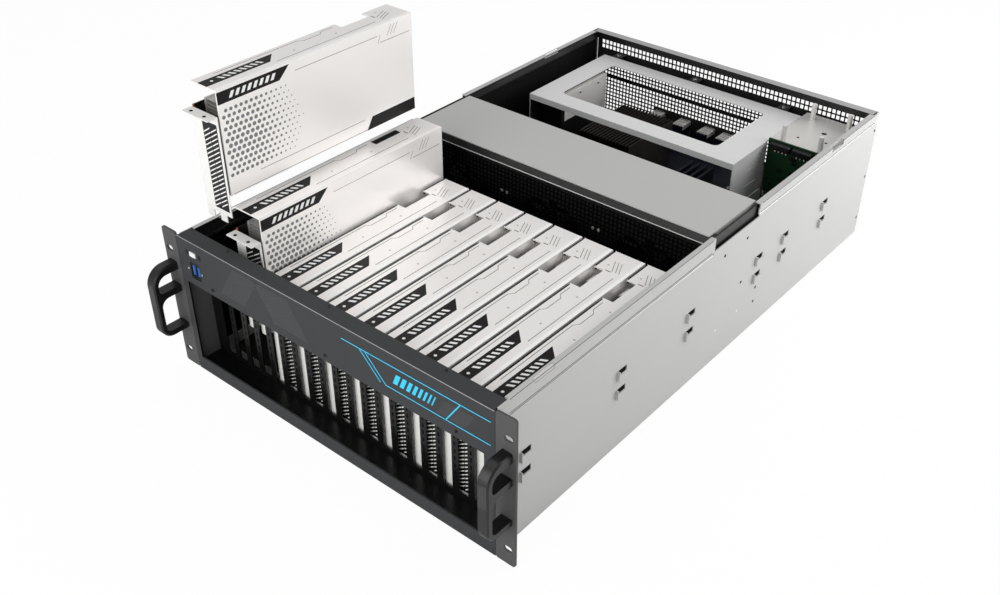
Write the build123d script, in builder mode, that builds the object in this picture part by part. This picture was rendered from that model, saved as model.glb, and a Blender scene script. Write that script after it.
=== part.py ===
from build123d import *

import math
import os

os.makedirs("parts", exist_ok=True)

# Driving dimensions, in millimetres. X runs left to right seen from the front, Y from the
# front to the back and Z up. Depths are measured back from the rack ears' front face.

# Chassis envelope
rack_width = 482.6
body_height = 175.0
chassis_depth = 745.0
sheet = 1.2
fit_gap = 0.3
rack_height = body_height + 2.0
body_width = rack_width - 48.6
body_half = body_width / 2
inner_half = body_half - sheet

# Rack ears and their slots
ear_thickness = 2.5
ear_tab_offset = 2.0
ear_tab_width = 8.0
ear_return_depth = 28.0
ear_corner = 3.0
slot_spacing_x = rack_width - 17.5
slot_spacing_z = rack_height - 43.65
slot_centre_z = rack_height / 2 - 2.5
slot_length = 10.2
slot_radius = 3.4

# Ear handles
handle_reach = 33.0
handle_width = 13.0
handle_bar = 6.0
handle_height = 87.0
handle_bottom = (rack_height - handle_height) / 2 + 6.5
handle_top = handle_bottom + handle_height
handle_leg = 8.0
handle_middle = handle_bottom + 0.57 * handle_height
handle_centre_x = rack_width / 2 - 10.3
handle_top_radius = 20.0
handle_bottom_radius = 15.0
handle_edge = 1.6

# Front bezel
bezel_thickness = 2.0
bezel_width = body_width + 1.4
bezel_flange = 18.5
window_left = 7.0 - body_half
window_right = body_half - 12.0
window_bottom = 17.0
window_top = body_height - 55.0
window_lip = 6.0

# Power button and USB ports
button_inset = 18.1
button_x = window_left + button_inset
button_z = body_height - 14.7
button_width = 9.4
button_height = 5.4
button_length = 7.0
button_proud = 1.0
button_travel = 1.5
usb_x = button_x + 0.3
usb_z = window_top + 19.5
usb_width = 15.4
usb_height = 21.0
usb_depth = 15.0
usb_mouth_width = 5.4
usb_mouth_height = 13.0
usb_mouth_depth = 9.0
usb_tongue = 1.8

# Side panels: a wall with a folded rail along its top and lanced hooks for a slide
rail_front_low = body_height - 20.0
rail_front_groove = 3.0
rail_rear_low = body_height - 13.5
rail_rear_groove = 7.5
rail_step = 1.0
rail_flange_front = 5.5
rail_flange_rear = 7.0
rail_start = 20.0
rail_gap_height = body_height - 16.0
catch_start = 55.0
catch_length = 28.0
catch_depth = 5.0
rear_catch_back = 127.0
rear_catch_length = 30.0
hook_depths = tuple(chassis_depth * share for share in (0.058, 0.260, 0.429, 0.621, 0.703, 0.836))
hook_heights = (0.554 * body_height, 0.417 * body_height)
hook_width = 16.0
hook_height = 12.0
hook_proud = 3.0
hook_plate_length = 13.0
hook_plate_height = 8.5

# Cards: ten double-width cards, the two on the left lifted
card_count = 10
card_side_gap = 9.2
card_pitch = (body_width - 27.6) / card_count
card_right_x = body_half - card_side_gap
card_front = 35.0
card_length = 266.5
card_top = body_height - 25.0
card_bottom = 35.5
card_width = card_pitch - 2.64
card_sheet = 1.5
card_lower_flange = 26.0
card_lift_first = 191.4
card_lift_second = 66.0
card_notch_start = 0.705 * card_length
card_notch_length = 41.0
card_notch_depth = 12.0
board_thickness = 1.6
board_left = card_pitch - 2.24
board_top = card_top - 24.0
board_bottom = 27.0
board_length = card_length - 4.5
finger_start = 42.0
finger_length = 84.0
finger_bottom = 17.5
fin_front = card_front + 11.0
fin_length = card_length - 22.5
fin_top = board_top + 2.6
fin_bottom = card_bottom + 2.0
fin_count = 13
fin_thickness = 1.0
fin_base = 3.5

# Card brackets
bracket_depth = card_front - 3.4
bracket_sheet = 1.0
bracket_width = card_pitch - 1.24
bracket_bottom = 11.3
bracket_tab = 11.4
bracket_tongue = 8.8
bracket_tongue_width = 10.2
bracket_vents = 9
bracket_vent_width = 5.0
bracket_vent_length = 12.5
bracket_vent_slant = 32.0

# Bracket wall behind the bezel window
wall_depth = 26.8
wall_top = body_height - 52.5
wall_bottom = 11.0
wall_ledge = 11.0
slot_pitch = card_pitch / 2
wall_window_width = slot_pitch - 8.32
wall_window_bottom = window_bottom
wall_window_top = window_top - 1.0
wall_half = inner_half - 2 * sheet - 0.6

# Switch board that the cards plug into
plane_front = card_front + 5.0
plane_length = card_length + 23.5
plane_margin = 10.8
plane_height = 12.0
plane_thickness = 2.4
socket_length = finger_length + 5.0
socket_width = 7.5
socket_height = 11.0
socket_floor = 2.4
stud_radius = 4.5

# Fan wall, fans and their cover
fan_wall_gap = 53.0
cover_height = body_height - 0.7
fan_wall_top = cover_height - sheet
fan_wall_depth = 93.0
fan_wall_half = inner_half - 2 * sheet
fan_rail_height = 9.0
fan_rail_bulge = 2.5
fan_ledge = 12.0
fan_size = 120.0
fan_depth = 38.0
fan_pitch = fan_wall_half * 0.628
fan_bottom = (fan_wall_top - fan_rail_height - fan_size) / 2 + 2.0
fan_bore = 115.0
fan_corner = 6.0
rotor_radius = 55.5
hub_radius = 21.0
hub_length = 26.0
hub_edge = 2.0
shaft_radius = 2.5
shaft_gap = 0.05
shaft_start = 8.0
motor_radius = 19.0
motor_length = 6.0
blade_count = 7
blade_thickness = 1.4
blade_camber = 3.0
root_pitch = 36.0
root_chord = 23.0
tip_pitch = 58.0
tip_chord = 37.0
strut_width = 5.0
cover_width = body_width - 18.0
cover_length = 97.0
cover_flange = 11.0

# Power supply bay, whose roof carries the main board
bay_left = 3.0 - body_half
bay_right = body_half - 97.2
bay_roof = 46.2
bay_rear_gap = 2.0
supply_width = 73.5
supply_height = 39.0
supply_length = 185.0
supply_spacing = 4.5
supply_pitch = supply_width + supply_spacing
supply_inset = 4.25
supply_first_x = bay_left + supply_inset + supply_width / 2
supply_bottom = sheet + fit_gap
supply_pull_reach = 20.0
supply_fan_radius = 17.0
board_post = 6.0

# Power box and main board, its cooler and rear ports
box_inset = 30.0
box_width = 34.0
box_left = bay_left + box_inset
box_right = box_left + box_width
box_length = 104.0
box_top = body_height - 29.0
box_rear_gap = 69.0
main_left = box_right + 3.0
main_right = bay_right - 4.8
main_front_gap = 16.0
main_rear_gap = 9.0
cooler_inset = 79.0
cooler_x = main_left + cooler_inset
cooler_width = 78.0
cooler_length = 105.0
cooler_height = 64.0
cooler_fins = 16
cooler_fin = 1.2
cooler_base = 6.0
cooler_back = 134.5
port_insets = (48.0, 91.0, 131.0, 161.0)
port_x = tuple(main_left + inset for inset in port_insets)
port_width = 17.0
port_height = 25.0
port_depth = 26.0
memory_pitch = 10.0
memory_inset = 61.0
memory_x = tuple(main_right - memory_inset - memory_pitch * step for step in (3, 2, 1, 0))
memory_length = 133.0
memory_height = 32.0
memory_thickness = 4.0
memory_back = 110.0

# Drive cage
cage_left = bay_right + 7.9
cage_right = body_half - 4.0
cage_front_gap = 109.0
cage_length = 98.0
cage_top = body_height - 24.0
post_radius = 3.4
post_height = 21.0
post_spacing_x = 49.5
post_spacing_y = 78.0
post_inset = 38.8
post_centre_x = cage_left + post_inset
plate_hole_radius = 3.6
green_thickness = 2.0
green_left = cage_left - 0.9
green_right = cage_right - 1.0
green_upper = (80.0, cage_top + 2.0)
green_lower = (4.0, 72.0)
plug_width = 25.0
plug_height = 7.0
plug_depth = 9.0
plug_insets = (18.3, 47.8)
plug_x = tuple(cage_left + inset for inset in plug_insets)
plug_z = green_upper[1] - 5.5
tray_width = 76.0
tray_height = 16.5
tray_x = (cage_left + cage_right) / 2
tray_heights = (84.0, 8.0)
tray_face = 3.0

# Bridge over the main board
bridge_left = box_left - 2.0
bridge_right = cage_left - 1.2
bridge_top = body_height - 25.0
bridge_length = 172.0
bridge_rear_gap = 24.0
bridge_flange = 8.0
bridge_wall_length = 82.0
bridge_window_margins = (32.4, 40.0)
bridge_window_left = bridge_left + bridge_window_margins[0]
bridge_window_right = bridge_right - bridge_window_margins[1]
bridge_window_front = 28.0
bridge_window_length = 120.0
bridge_window_radius = 8.0
bridge_slots = ((49.5, 104.0), (62.0, 84.0), (50.0, 126.0))
bridge_slot_length = 30.0
bridge_slot_width = 1.6

# Rear panel
rear_flange = 12.0
panel_half = inner_half - sheet
panel_tab_insets = (16.0, 144.0, 280.0)
panel_tabs = tuple(bridge_left + inset for inset in panel_tab_insets)
panel_tab_width = 14.0

# The origin lies on the floor, midway between the handles' fronts and the supplies' pulls.
overall_length = handle_reach + chassis_depth + supply_pull_reach
ear_y = handle_reach - overall_length / 2
fan_wall_front = card_front + card_length + fan_wall_gap
cover_front = fan_wall_front + 0.5
cover_rear = cover_front + cover_length
bay_rear = chassis_depth - sheet - bay_rear_gap
main_front = cover_rear + main_front_gap
main_rear = chassis_depth - main_rear_gap
main_bottom = bay_roof + board_post


def at(depth):
    """Returns the Y of a point this far behind the rack ears' front face."""
    return ear_y + depth


def block(x, y, z, mode=Mode.ADD):
    """Adds or cuts a plain block between limits given as low and high pairs."""
    with Locations((sum(x) / 2, sum(y) / 2, sum(z) / 2)):
        Box(x[1] - x[0], y[1] - y[0], z[1] - z[0], mode=mode)


def folded_sheet(points, plane, length, thickness=sheet, side=1):
    """Returns a folded sheet: a line of bends, made thick to its left (1) or right (-1)."""
    lines = zip(points, points[1:])
    normals = [Vector(a[1] - b[1], b[0] - a[0]).normalized() * side for a, b in lines]
    inner = []
    for index, point in enumerate(points):
        first = normals[max(index - 1, 0)]
        second = normals[min(index, len(normals) - 1)]
        mitre = (first + second) * (thickness / (1 + first.dot(second)))
        inner.insert(0, (point[0] + mitre.X, point[1] + mitre.Y))
    with BuildPart(mode=Mode.PRIVATE) as folded:
        with BuildSketch(plane):
            with BuildLine():
                Polyline(*points, *inner, close=True)
            make_face()
        extrude(amount=length)
    return folded.part


def across(depth):
    """Returns the plane of a cross-section this far behind the ears, with its y along Z."""
    return Plane((0, at(depth), 0), x_dir=(1, 0, 0), z_dir=(0, -1, 0))


def lengthwise(x):
    """Returns the plane of a section along the chassis, with its x along Y."""
    return Plane((x, 0, 0), x_dir=(0, 1, 0), z_dir=(1, 0, 0))


# Base pan: a floor with low flanges all round and the studs under the switch board
pan_flange = 20.0
pan_front_half = inner_half - 15.8
plane_half = card_count * card_pitch / 2 + 1.8
with BuildPart() as base_pan:
    add(
        folded_sheet(
            [
                (-inner_half, pan_flange),
                (-inner_half, 0),
                (inner_half, 0),
                (inner_half, pan_flange),
            ],
            across(chassis_depth - sheet),
            chassis_depth - sheet - 5,
            side=1,
        )
    )
    block((-pan_front_half, pan_front_half), (at(5), at(5 + sheet)), (sheet / 2, wall_bottom))
    with BuildSketch(Plane.XY.offset(sheet / 2)):
        with Locations((0, at(plane_front + plane_length / 2))):
            with GridLocations(plane_half - 20, plane_length / 2 - 15, 3, 3):
                RegularPolygon(stud_radius, 6)
    extrude(amount=plane_height - sheet / 2)
base_pan.part.label = "base_pan"
export_step(base_pan.part, "parts/base_pan.step")


def rail_points(low, groove, flange):
    """Returns the bends of a side wall: plain wall, shallow groove, rail and top flange."""
    return [
        (body_half, 0),
        (body_half, low),
        (body_half - rail_step, low + 0.6),
        (body_half - rail_step, low + groove - 0.6),
        (body_half, low + groove),
        (body_half, body_height),
        (body_half - flange, body_height),
    ]


# Side panels: the right one is made, and the left one is its mirror image
with BuildPart() as side_panel:
    front_wall = folded_sheet(
        rail_points(rail_front_low, rail_front_groove, rail_flange_front),
        across(cover_front),
        cover_front - 5,
    )
    rear_wall = folded_sheet(
        rail_points(rail_rear_low, rail_rear_groove, rail_flange_rear),
        across(chassis_depth),
        chassis_depth - cover_rear + 4,
    )
    add(front_wall)
    add(rear_wall)
    block((inner_half, body_half), (at(cover_front - 1), at(cover_rear)), (0, rail_gap_height))
    block(
        (body_half - rail_flange_rear - 1, inner_half),
        (at(0), at(rail_start)),
        (body_height - catch_depth, body_height + 1),
        mode=Mode.SUBTRACT,
    )
    block(
        (body_half - rail_flange_rear - 1, inner_half),
        (at(chassis_depth - rear_flange - 1), at(chassis_depth + 1)),
        (body_height - catch_depth, body_height + 1),
        mode=Mode.SUBTRACT,
    )
    block(
        (inner_half - 2.5, body_half + 1),
        (at(catch_start), at(catch_start + catch_length)),
        (body_height - catch_depth, body_height + 1),
        mode=Mode.SUBTRACT,
    )
    block(
        (inner_half - 2.5, body_half + 1),
        (at(chassis_depth - rear_catch_back), at(chassis_depth - rear_catch_back + rear_catch_length)),
        (body_height - catch_depth - 1, body_height + 1),
        mode=Mode.SUBTRACT,
    )
    for height in hook_heights:
        hook_bottom = height - hook_height / 2
        for depth in hook_depths:
            hook_front = at(depth - hook_width / 2)
            block(
                (inner_half - 1, body_half + 1),
                (hook_front + sheet, hook_front + hook_width),
                (hook_bottom, hook_bottom + hook_height),
                mode=Mode.SUBTRACT,
            )
            block(
                (inner_half, body_half + hook_proud),
                (hook_front, hook_front + sheet),
                (hook_bottom, hook_bottom + hook_height),
            )
            block(
                (body_half + hook_proud - sheet, body_half + hook_proud),
                (hook_front, hook_front + hook_plate_length),
                (hook_bottom, hook_bottom + hook_plate_height),
            )
side_panel_right = side_panel.part
side_panel_right.label = "side_panel_right"
export_step(side_panel_right, "parts/side_panel_right.step")
side_panel_left = side_panel.part.mirror(Plane.YZ)
side_panel_left.label = "side_panel_left"
export_step(side_panel_left, "parts/side_panel_left.step")


# Rack ears: a slotted plate, a tab behind the bezel and a return along the side panel
ear_inner = bezel_width / 2 + 0.5
return_x = inner_half - 2 * sheet - 0.2
with BuildPart() as rack_ear:
    with BuildSketch(across(ear_thickness)):
        with Locations(((ear_inner + rack_width / 2) / 2, rack_height / 2)):
            RectangleRounded(rack_width / 2 - ear_inner, rack_height, ear_corner)
        with Locations(
            (slot_spacing_x / 2, slot_centre_z - slot_spacing_z / 2),
            (slot_spacing_x / 2, slot_centre_z + slot_spacing_z / 2),
        ):
            SlotOverall(slot_length, 2 * slot_radius, mode=Mode.SUBTRACT)
    extrude(amount=ear_thickness)
    ear_fold = [
        (ear_inner + ear_tab_width, at(ear_tab_offset)),
        (return_x, at(ear_tab_offset)),
        (return_x, at(ear_tab_offset + ear_return_depth)),
    ]
    add(folded_sheet(ear_fold, Plane.XY.offset(6), rack_height - 30, side=-1))
rack_ear_right = rack_ear.part
rack_ear_right.label = "rack_ear_right"
export_step(rack_ear_right, "parts/rack_ear_right.step")
rack_ear_left = rack_ear.part.mirror(Plane.YZ)
rack_ear_left.label = "rack_ear_left"
export_step(rack_ear_left, "parts/rack_ear_left.step")


# Ear handles: three legs and a grip bar, cut from one outline by two finger openings
finger_openings = (
    (handle_middle + handle_leg, handle_top - handle_leg - 1.5, 11.0, 4.0),
    (handle_bottom + handle_leg, handle_middle, 10.0, 6.0),
)
with BuildPart() as ear_handle:
    with BuildSketch(lengthwise(handle_centre_x - handle_width / 2)) as handle_outline:
        with Locations((at(-handle_reach / 2), (handle_top + handle_bottom) / 2)):
            Rectangle(handle_reach, handle_top - handle_bottom)
        fillet(handle_outline.vertices().sort_by(Axis.X)[:2].sort_by(Axis.Y)[-1], handle_top_radius)
        fillet(handle_outline.vertices().sort_by(Axis.Y)[:2].sort_by(Axis.X)[0], handle_bottom_radius)
    extrude(amount=handle_width)
    chamfer(ear_handle.edges().group_by(Axis.Y)[0], handle_edge)
    for low, high, upper_round, lower_round in finger_openings:
        with BuildSketch(lengthwise(handle_centre_x - handle_width / 2)) as finger_opening:
            with Locations((at((handle_bar - handle_reach) / 2 + 1), (low + high) / 2)):
                Rectangle(handle_reach - handle_bar + 2, high - low)
            fillet(finger_opening.vertices().sort_by(Axis.X)[:2].sort_by(Axis.Y)[-1], upper_round)
            fillet(finger_opening.vertices().sort_by(Axis.X)[:2].sort_by(Axis.Y)[0], lower_round)
        extrude(amount=handle_width, mode=Mode.SUBTRACT)
handle_right = ear_handle.part
handle_right.label = "handle_right"
export_step(handle_right, "parts/handle_right.step")
handle_left = ear_handle.part.mirror(Plane.YZ)
handle_left.label = "handle_left"
export_step(handle_left, "parts/handle_left.step")


# Front bezel: a plate with the long window, folded back along its top
with BuildPart() as front_bezel:
    with BuildSketch(across(bezel_thickness)):
        with Locations((0, body_height / 2)):
            Rectangle(bezel_width, body_height)
        with Locations(((window_left + window_right) / 2, (window_bottom + window_top) / 2)):
            Rectangle(window_right - window_left, window_top - window_bottom, mode=Mode.SUBTRACT)
        with Locations((button_x, button_z)):
            Rectangle(button_width + 0.6, button_height + 0.6, mode=Mode.SUBTRACT)
        with Locations((usb_x, usb_z)):
            RectangleRounded(usb_width + 0.6, usb_height + 0.6, 3.3, mode=Mode.SUBTRACT)
    extrude(amount=bezel_thickness)
    block(
        (-inner_half + 0.2, inner_half - 0.2),
        (at(0), at(bezel_flange)),
        (body_height - sheet, body_height),
    )
    block(
        (window_left, window_right),
        (at(bezel_thickness - 0.5), at(bezel_thickness + window_lip)),
        (window_top, window_top + sheet),
    )
front_bezel.part.label = "front_bezel"
export_step(front_bezel.part, "parts/front_bezel.step")


# Power button: a cap in the bezel, held by a collar behind it
with BuildPart() as power_button:
    button_spans = (button_x - button_width / 2, button_x + button_width / 2)
    button_rises = (button_z - button_height / 2, button_z + button_height / 2)
    block(button_spans, (at(-button_proud), at(button_length)), button_rises)
    block(
        (button_spans[0] - 1, button_spans[1] + 1),
        (at(bezel_thickness + 0.1), at(bezel_thickness + 1.1)),
        (button_rises[0] - 1, button_rises[1] + 1),
    )
power_button.part.label = "power_button"
export_step(power_button.part, "parts/power_button.step")


# Front ports: two upright sockets and the button's switch on one small board
with BuildPart() as front_ports:
    with BuildSketch(across(usb_depth)):
        with Locations((usb_x, usb_z)):
            RectangleRounded(usb_width, usb_height, 3)
    extrude(amount=usb_depth - 0.4)
    block(
        (usb_x - usb_width / 2 - 2, usb_x + usb_width / 2 + 2),
        (at(bezel_thickness), at(bezel_thickness + 1.5)),
        (usb_z - usb_height / 2 - 2, usb_z + usb_height / 2 + 2),
    )
    for offset_x in (-usb_width / 4, usb_width / 4):
        mouth_x = (usb_x + offset_x - usb_mouth_width / 2, usb_x + offset_x + usb_mouth_width / 2)
        mouth_z = (usb_z - usb_mouth_height / 2, usb_z + usb_mouth_height / 2)
        block(mouth_x, (at(0), at(usb_mouth_depth)), mouth_z, mode=Mode.SUBTRACT)
        block(
            (mouth_x[0], mouth_x[0] + usb_tongue),
            (at(1.5), at(usb_mouth_depth + 1)),
            (mouth_z[0] + 1, mouth_z[1] - 1),
        )
    block(
        (usb_x - usb_width / 2 - 1, usb_x + usb_width / 2 + 1),
        (at(usb_depth), at(usb_depth + board_thickness)),
        (usb_z - usb_height / 2 - 1, button_z + button_height / 2 + 2),
    )
    block(
        (button_x - 3, button_x + 3),
        (at(button_length + button_travel + 0.5), at(usb_depth)),
        (button_z - 2.5, button_z + 2.5),
    )
front_ports.part.label = "front_ports"
export_step(front_ports.part, "parts/front_ports.step")


# Bracket wall: a channel whose web has two tall windows for every card
window_centres = [
    card_right_x - 0.29 * card_pitch - slot_pitch * index for index in range(2 * card_count)
]
with BuildPart() as bracket_wall:
    add(
        folded_sheet(
            [
                (at(bezel_thickness + 1), wall_bottom),
                (at(wall_depth + sheet), wall_bottom),
                (at(wall_depth + sheet), wall_top),
                (at(wall_depth + sheet - wall_ledge), wall_top),
            ],
            lengthwise(-wall_half),
            2 * wall_half,
        )
    )
    with BuildSketch(across(wall_depth + 2 * sheet)):
        with Locations(*[(x, (wall_window_bottom + wall_window_top) / 2) for x in window_centres]):
            Rectangle(wall_window_width, wall_window_top - wall_window_bottom)
    extrude(amount=3 * sheet, mode=Mode.SUBTRACT)
bracket_wall.part.label = "bracket_wall"
export_step(bracket_wall.part, "parts/bracket_wall.step")


# Switch board: one socket under every card
board_centre = board_left - board_thickness / 2
card_rights = [card_right_x - card_pitch * (card_count - 1 - index) for index in range(card_count)]
socket_start = card_front + finger_start - (socket_length - finger_length) / 2
socket_top = plane_height + plane_thickness + socket_height
with BuildPart() as backplane:
    block(
        (-plane_half, plane_half),
        (at(plane_front), at(plane_front + plane_length)),
        (plane_height, plane_height + plane_thickness),
    )
    for right in card_rights:
        middle = right - board_centre
        block(
            (middle - socket_width / 2, middle + socket_width / 2),
            (at(socket_start), at(socket_start + socket_length)),
            (plane_height + plane_thickness, socket_top),
        )
        block(
            (middle - board_thickness / 2 - 0.2, middle + board_thickness / 2 + 0.2),
            (at(socket_start + 2), at(socket_start + socket_length - 2)),
            (plane_height + plane_thickness + socket_floor, socket_top),
            mode=Mode.SUBTRACT,
        )
backplane.part.label = "backplane"
export_step(backplane.part, "parts/backplane.step")


# Card shroud: top flange, broad side plate and lower flange folded from one sheet
with BuildPart() as card_shroud:
    add(
        folded_sheet(
            [
                (-card_width, card_top),
                (0, card_top),
                (0, card_bottom),
                (-card_lower_flange, card_bottom),
            ],
            across(card_front + card_length),
            card_length,
            thickness=card_sheet,
            side=-1,
        )
    )
    block(
        (-card_width - 1, -card_width + card_notch_depth),
        (
            at(card_front + card_notch_start),
            at(card_front + card_notch_start + card_notch_length),
        ),
        (card_top - 2 * card_sheet, card_top + 1),
        mode=Mode.SUBTRACT,
    )

# Card board with its edge connector, and the heatsink and power socket fixed to it
with BuildPart() as card_board:
    block(
        (-board_left, -board_left + board_thickness),
        (at(bracket_depth + bracket_sheet), at(bracket_depth + bracket_sheet + board_length)),
        (board_bottom, board_top),
    )
    block(
        (-board_left, -board_left + board_thickness),
        (at(card_front + finger_start), at(card_front + finger_start + finger_length)),
        (finger_bottom, board_bottom + 1),
    )
sink_left = -board_left + board_thickness
sink_right = -card_sheet - 0.3
fin_pitch = (fin_top - fin_bottom - fin_thickness) / (fin_count - 1)
with BuildPart() as card_sink:
    with BuildSketch(across(fin_front + fin_length)):
        with Locations((sink_left + fin_base / 2, (fin_bottom + fin_top) / 2)):
            Rectangle(fin_base, fin_top - fin_bottom)
        with Locations(((sink_left + sink_right) / 2, (fin_bottom + fin_top) / 2)):
            with GridLocations(1, fin_pitch, 1, fin_count):
                Rectangle(sink_right - sink_left, fin_thickness)
    extrude(amount=fin_length)
with BuildPart() as card_socket:
    block(
        (sink_left, -card_width + card_notch_depth - 0.5),
        (
            at(card_front + card_notch_start + 1),
            at(card_front + card_notch_start + card_notch_length - 1),
        ),
        (fin_top, card_top - 3),
    )

# Card bracket: a plate with a bent tab on top, two tongues below and slanted vents
with BuildPart() as card_bracket:
    block(
        (-bracket_width, 0),
        (at(bracket_depth), at(bracket_depth + bracket_sheet)),
        (bracket_bottom, wall_top + bracket_sheet),
    )
    block(
        (-bracket_width, 0),
        (at(bracket_depth - bracket_tab), at(bracket_depth + bracket_sheet)),
        (wall_top, wall_top + bracket_sheet),
    )
    for tongue_x in (-0.34 * card_pitch - slot_pitch, -0.34 * card_pitch):
        block(
            (tongue_x - bracket_tongue_width / 2, tongue_x + bracket_tongue_width / 2),
            (at(bracket_depth), at(bracket_depth + bracket_sheet)),
            (bracket_bottom - bracket_tongue, bracket_bottom + 1),
        )
    with BuildSketch(across(bracket_depth - 1)):
        with Locations((-0.283 * card_pitch, (wall_window_bottom + wall_window_top) / 2)):
            with GridLocations(1, 2 * bracket_vent_width + 0.2, 1, bracket_vents):
                Rectangle(bracket_vent_length, bracket_vent_width, rotation=-bracket_vent_slant)
    extrude(amount=-3, mode=Mode.SUBTRACT)

# The ten cards, numbered from the left
for index, right in enumerate(card_rights):
    lift = (card_lift_first, card_lift_second)[index] if index < 2 else 0.0
    place = Location((right, 0, lift))
    number = f"card_{index + 1:02d}"
    shroud = card_shroud.part.moved(place)
    shroud.label = f"{number}_shroud"
    export_step(shroud, f"parts/{number}_shroud.step")
    pieces = [piece.part.moved(place) for piece in (card_board, card_sink, card_socket)]
    board = Compound(label=f"{number}_board", children=pieces)
    export_step(board, f"parts/{number}_board.step")
    bracket = card_bracket.part.moved(place)
    bracket.label = f"{number}_bracket"
    export_step(bracket, f"parts/{number}_bracket.step")


# Fan wall: a front sheet with three apertures, side plates and a folded top rail
fan_centres = [fan_pitch * step for step in (-1, 0, 1)]
fan_middle = fan_bottom + fan_size / 2
rail_low = fan_wall_top - fan_rail_height
with BuildPart() as fan_wall:
    add(
        folded_sheet(
            [
                (at(fan_wall_front + 20), sheet),
                (at(fan_wall_front), sheet),
                (at(fan_wall_front), rail_low),
                (at(fan_wall_front - fan_rail_bulge), rail_low + 0.8),
                (at(fan_wall_front - 0.5), fan_wall_top),
                (at(fan_wall_front + fan_ledge), fan_wall_top),
            ],
            lengthwise(-fan_wall_half),
            2 * fan_wall_half,
            side=-1,
        )
    )
    for low_x in (-fan_wall_half, fan_wall_half - sheet):
        block(
            (low_x, low_x + sheet),
            (at(fan_wall_front + 0.5), at(fan_wall_front + fan_wall_depth)),
            (sheet, fan_wall_top),
        )
    with BuildSketch(across(fan_wall_front + 3)):
        with Locations(*[(x, fan_middle) for x in fan_centres]):
            Circle(fan_bore / 2 - 1)
    extrude(amount=6, mode=Mode.SUBTRACT)
    for middle in (sheet / 2 - cover_width / 2, cover_width / 2 - sheet / 2):
        block(
            (middle - sheet, middle + sheet),
            (at(fan_wall_front + sheet), at(fan_wall_front + fan_ledge + 1)),
            (fan_wall_top - 2 * sheet, fan_wall_top + 1),
            mode=Mode.SUBTRACT,
        )
fan_wall.part.label = "fan_wall"
export_step(fan_wall.part, "parts/fan_wall.step")

# Fan frames: square frames with a round bore, rear struts, a motor base and a shaft
fan_front = fan_wall_front + sheet
with BuildPart() as fan_frame:
    with BuildSketch(Plane.XY):
        RectangleRounded(fan_size, fan_size, fan_corner)
        Circle(fan_bore / 2, mode=Mode.SUBTRACT)
    extrude(amount=fan_depth)
    with BuildSketch(Plane.XY.offset(fan_depth - 4)):
        with PolarLocations(0, 4, start_angle=30):
            Rectangle(fan_bore / 2 + 0.6, strut_width, align=(Align.MIN, Align.CENTER))
    extrude(amount=4)
    with BuildSketch(Plane.XY.offset(fan_depth - motor_length)):
        Circle(motor_radius)
    extrude(amount=motor_length)
    with BuildSketch(Plane.XY.offset(shaft_start)):
        Circle(shaft_radius)
    extrude(amount=fan_depth - motor_length - shaft_start + 1)
frame_solids = [
    fan_frame.part.moved(Location((x, at(fan_front), fan_middle), (-90, 0, 0))) for x in fan_centres
]
fan_frames = Compound(label="fan_frames", children=frame_solids)
export_step(fan_frames, "parts/fan_frames.step")

# One fan blade: cambered sections that turn flatter and grow longer from root to tip
with BuildPart() as blade:
    for radius, pitch, chord in (
        (hub_radius - 1.5, root_pitch, root_chord),
        (rotor_radius + 2, tip_pitch, tip_chord),
    ):
        with BuildSketch(Plane((radius, 0, 0), x_dir=(0, 0, 1), z_dir=(1, 0, 0)).rotated((pitch, 0, 0))):
            with BuildLine():
                back = ThreePointArc((-chord / 2, 0), (0, blade_camber), (chord / 2, 0))
                face = ThreePointArc(
                    (-chord / 2, -blade_thickness),
                    (0, blade_camber - blade_thickness),
                    (chord / 2, -blade_thickness),
                )
                Line(back @ 0, face @ 0)
                Line(back @ 1, face @ 1)
            make_face()
    loft()
    with BuildSketch(Plane.XY.offset(-hub_length)):
        Circle(rotor_radius)
    extrude(amount=2 * hub_length, mode=Mode.INTERSECT)

# Fan rotors: a bevelled hub on the shaft with seven blades
rotor_start = fan_depth - motor_length - 1 - hub_length
with BuildPart() as fan_rotor:
    with BuildSketch(Plane.XY.offset(rotor_start)):
        Circle(hub_radius)
    extrude(amount=hub_length)
    chamfer(fan_rotor.edges().sort_by(Axis.Z)[0], hub_edge)
    with Locations((0, 0, rotor_start + hub_length / 2)):
        with PolarLocations(0, blade_count):
            add(blade.part)
    with BuildSketch(Plane.XY.offset(shaft_start - 0.5)):
        Circle(shaft_radius + shaft_gap)
    extrude(amount=fan_depth, mode=Mode.SUBTRACT)
for number, x in enumerate(fan_centres, start=1):
    rotor = fan_rotor.part.moved(Location((x, at(fan_front), fan_middle), (-90, 0, 0)))
    rotor.label = f"fan_rotor_{number}"
    export_step(rotor, f"parts/fan_rotor_{number}.step")

# Fan cover: a lid with folded sides that rests on the fan wall's ledge
with BuildPart() as fan_cover:
    add(
        folded_sheet(
            [
                (-cover_width / 2, cover_height - cover_flange),
                (-cover_width / 2, cover_height),
                (cover_width / 2, cover_height),
                (cover_width / 2, cover_height - cover_flange),
            ],
            across(cover_rear),
            cover_length,
            side=-1,
        )
    )
    block(
        (-cover_width, cover_width),
        (at(cover_front - 1), at(fan_wall_front + sheet + 0.3)),
        (0, cover_height - sheet),
        mode=Mode.SUBTRACT,
    )
fan_cover.part.label = "fan_cover"
export_step(fan_cover.part, "parts/fan_cover.step")


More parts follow.
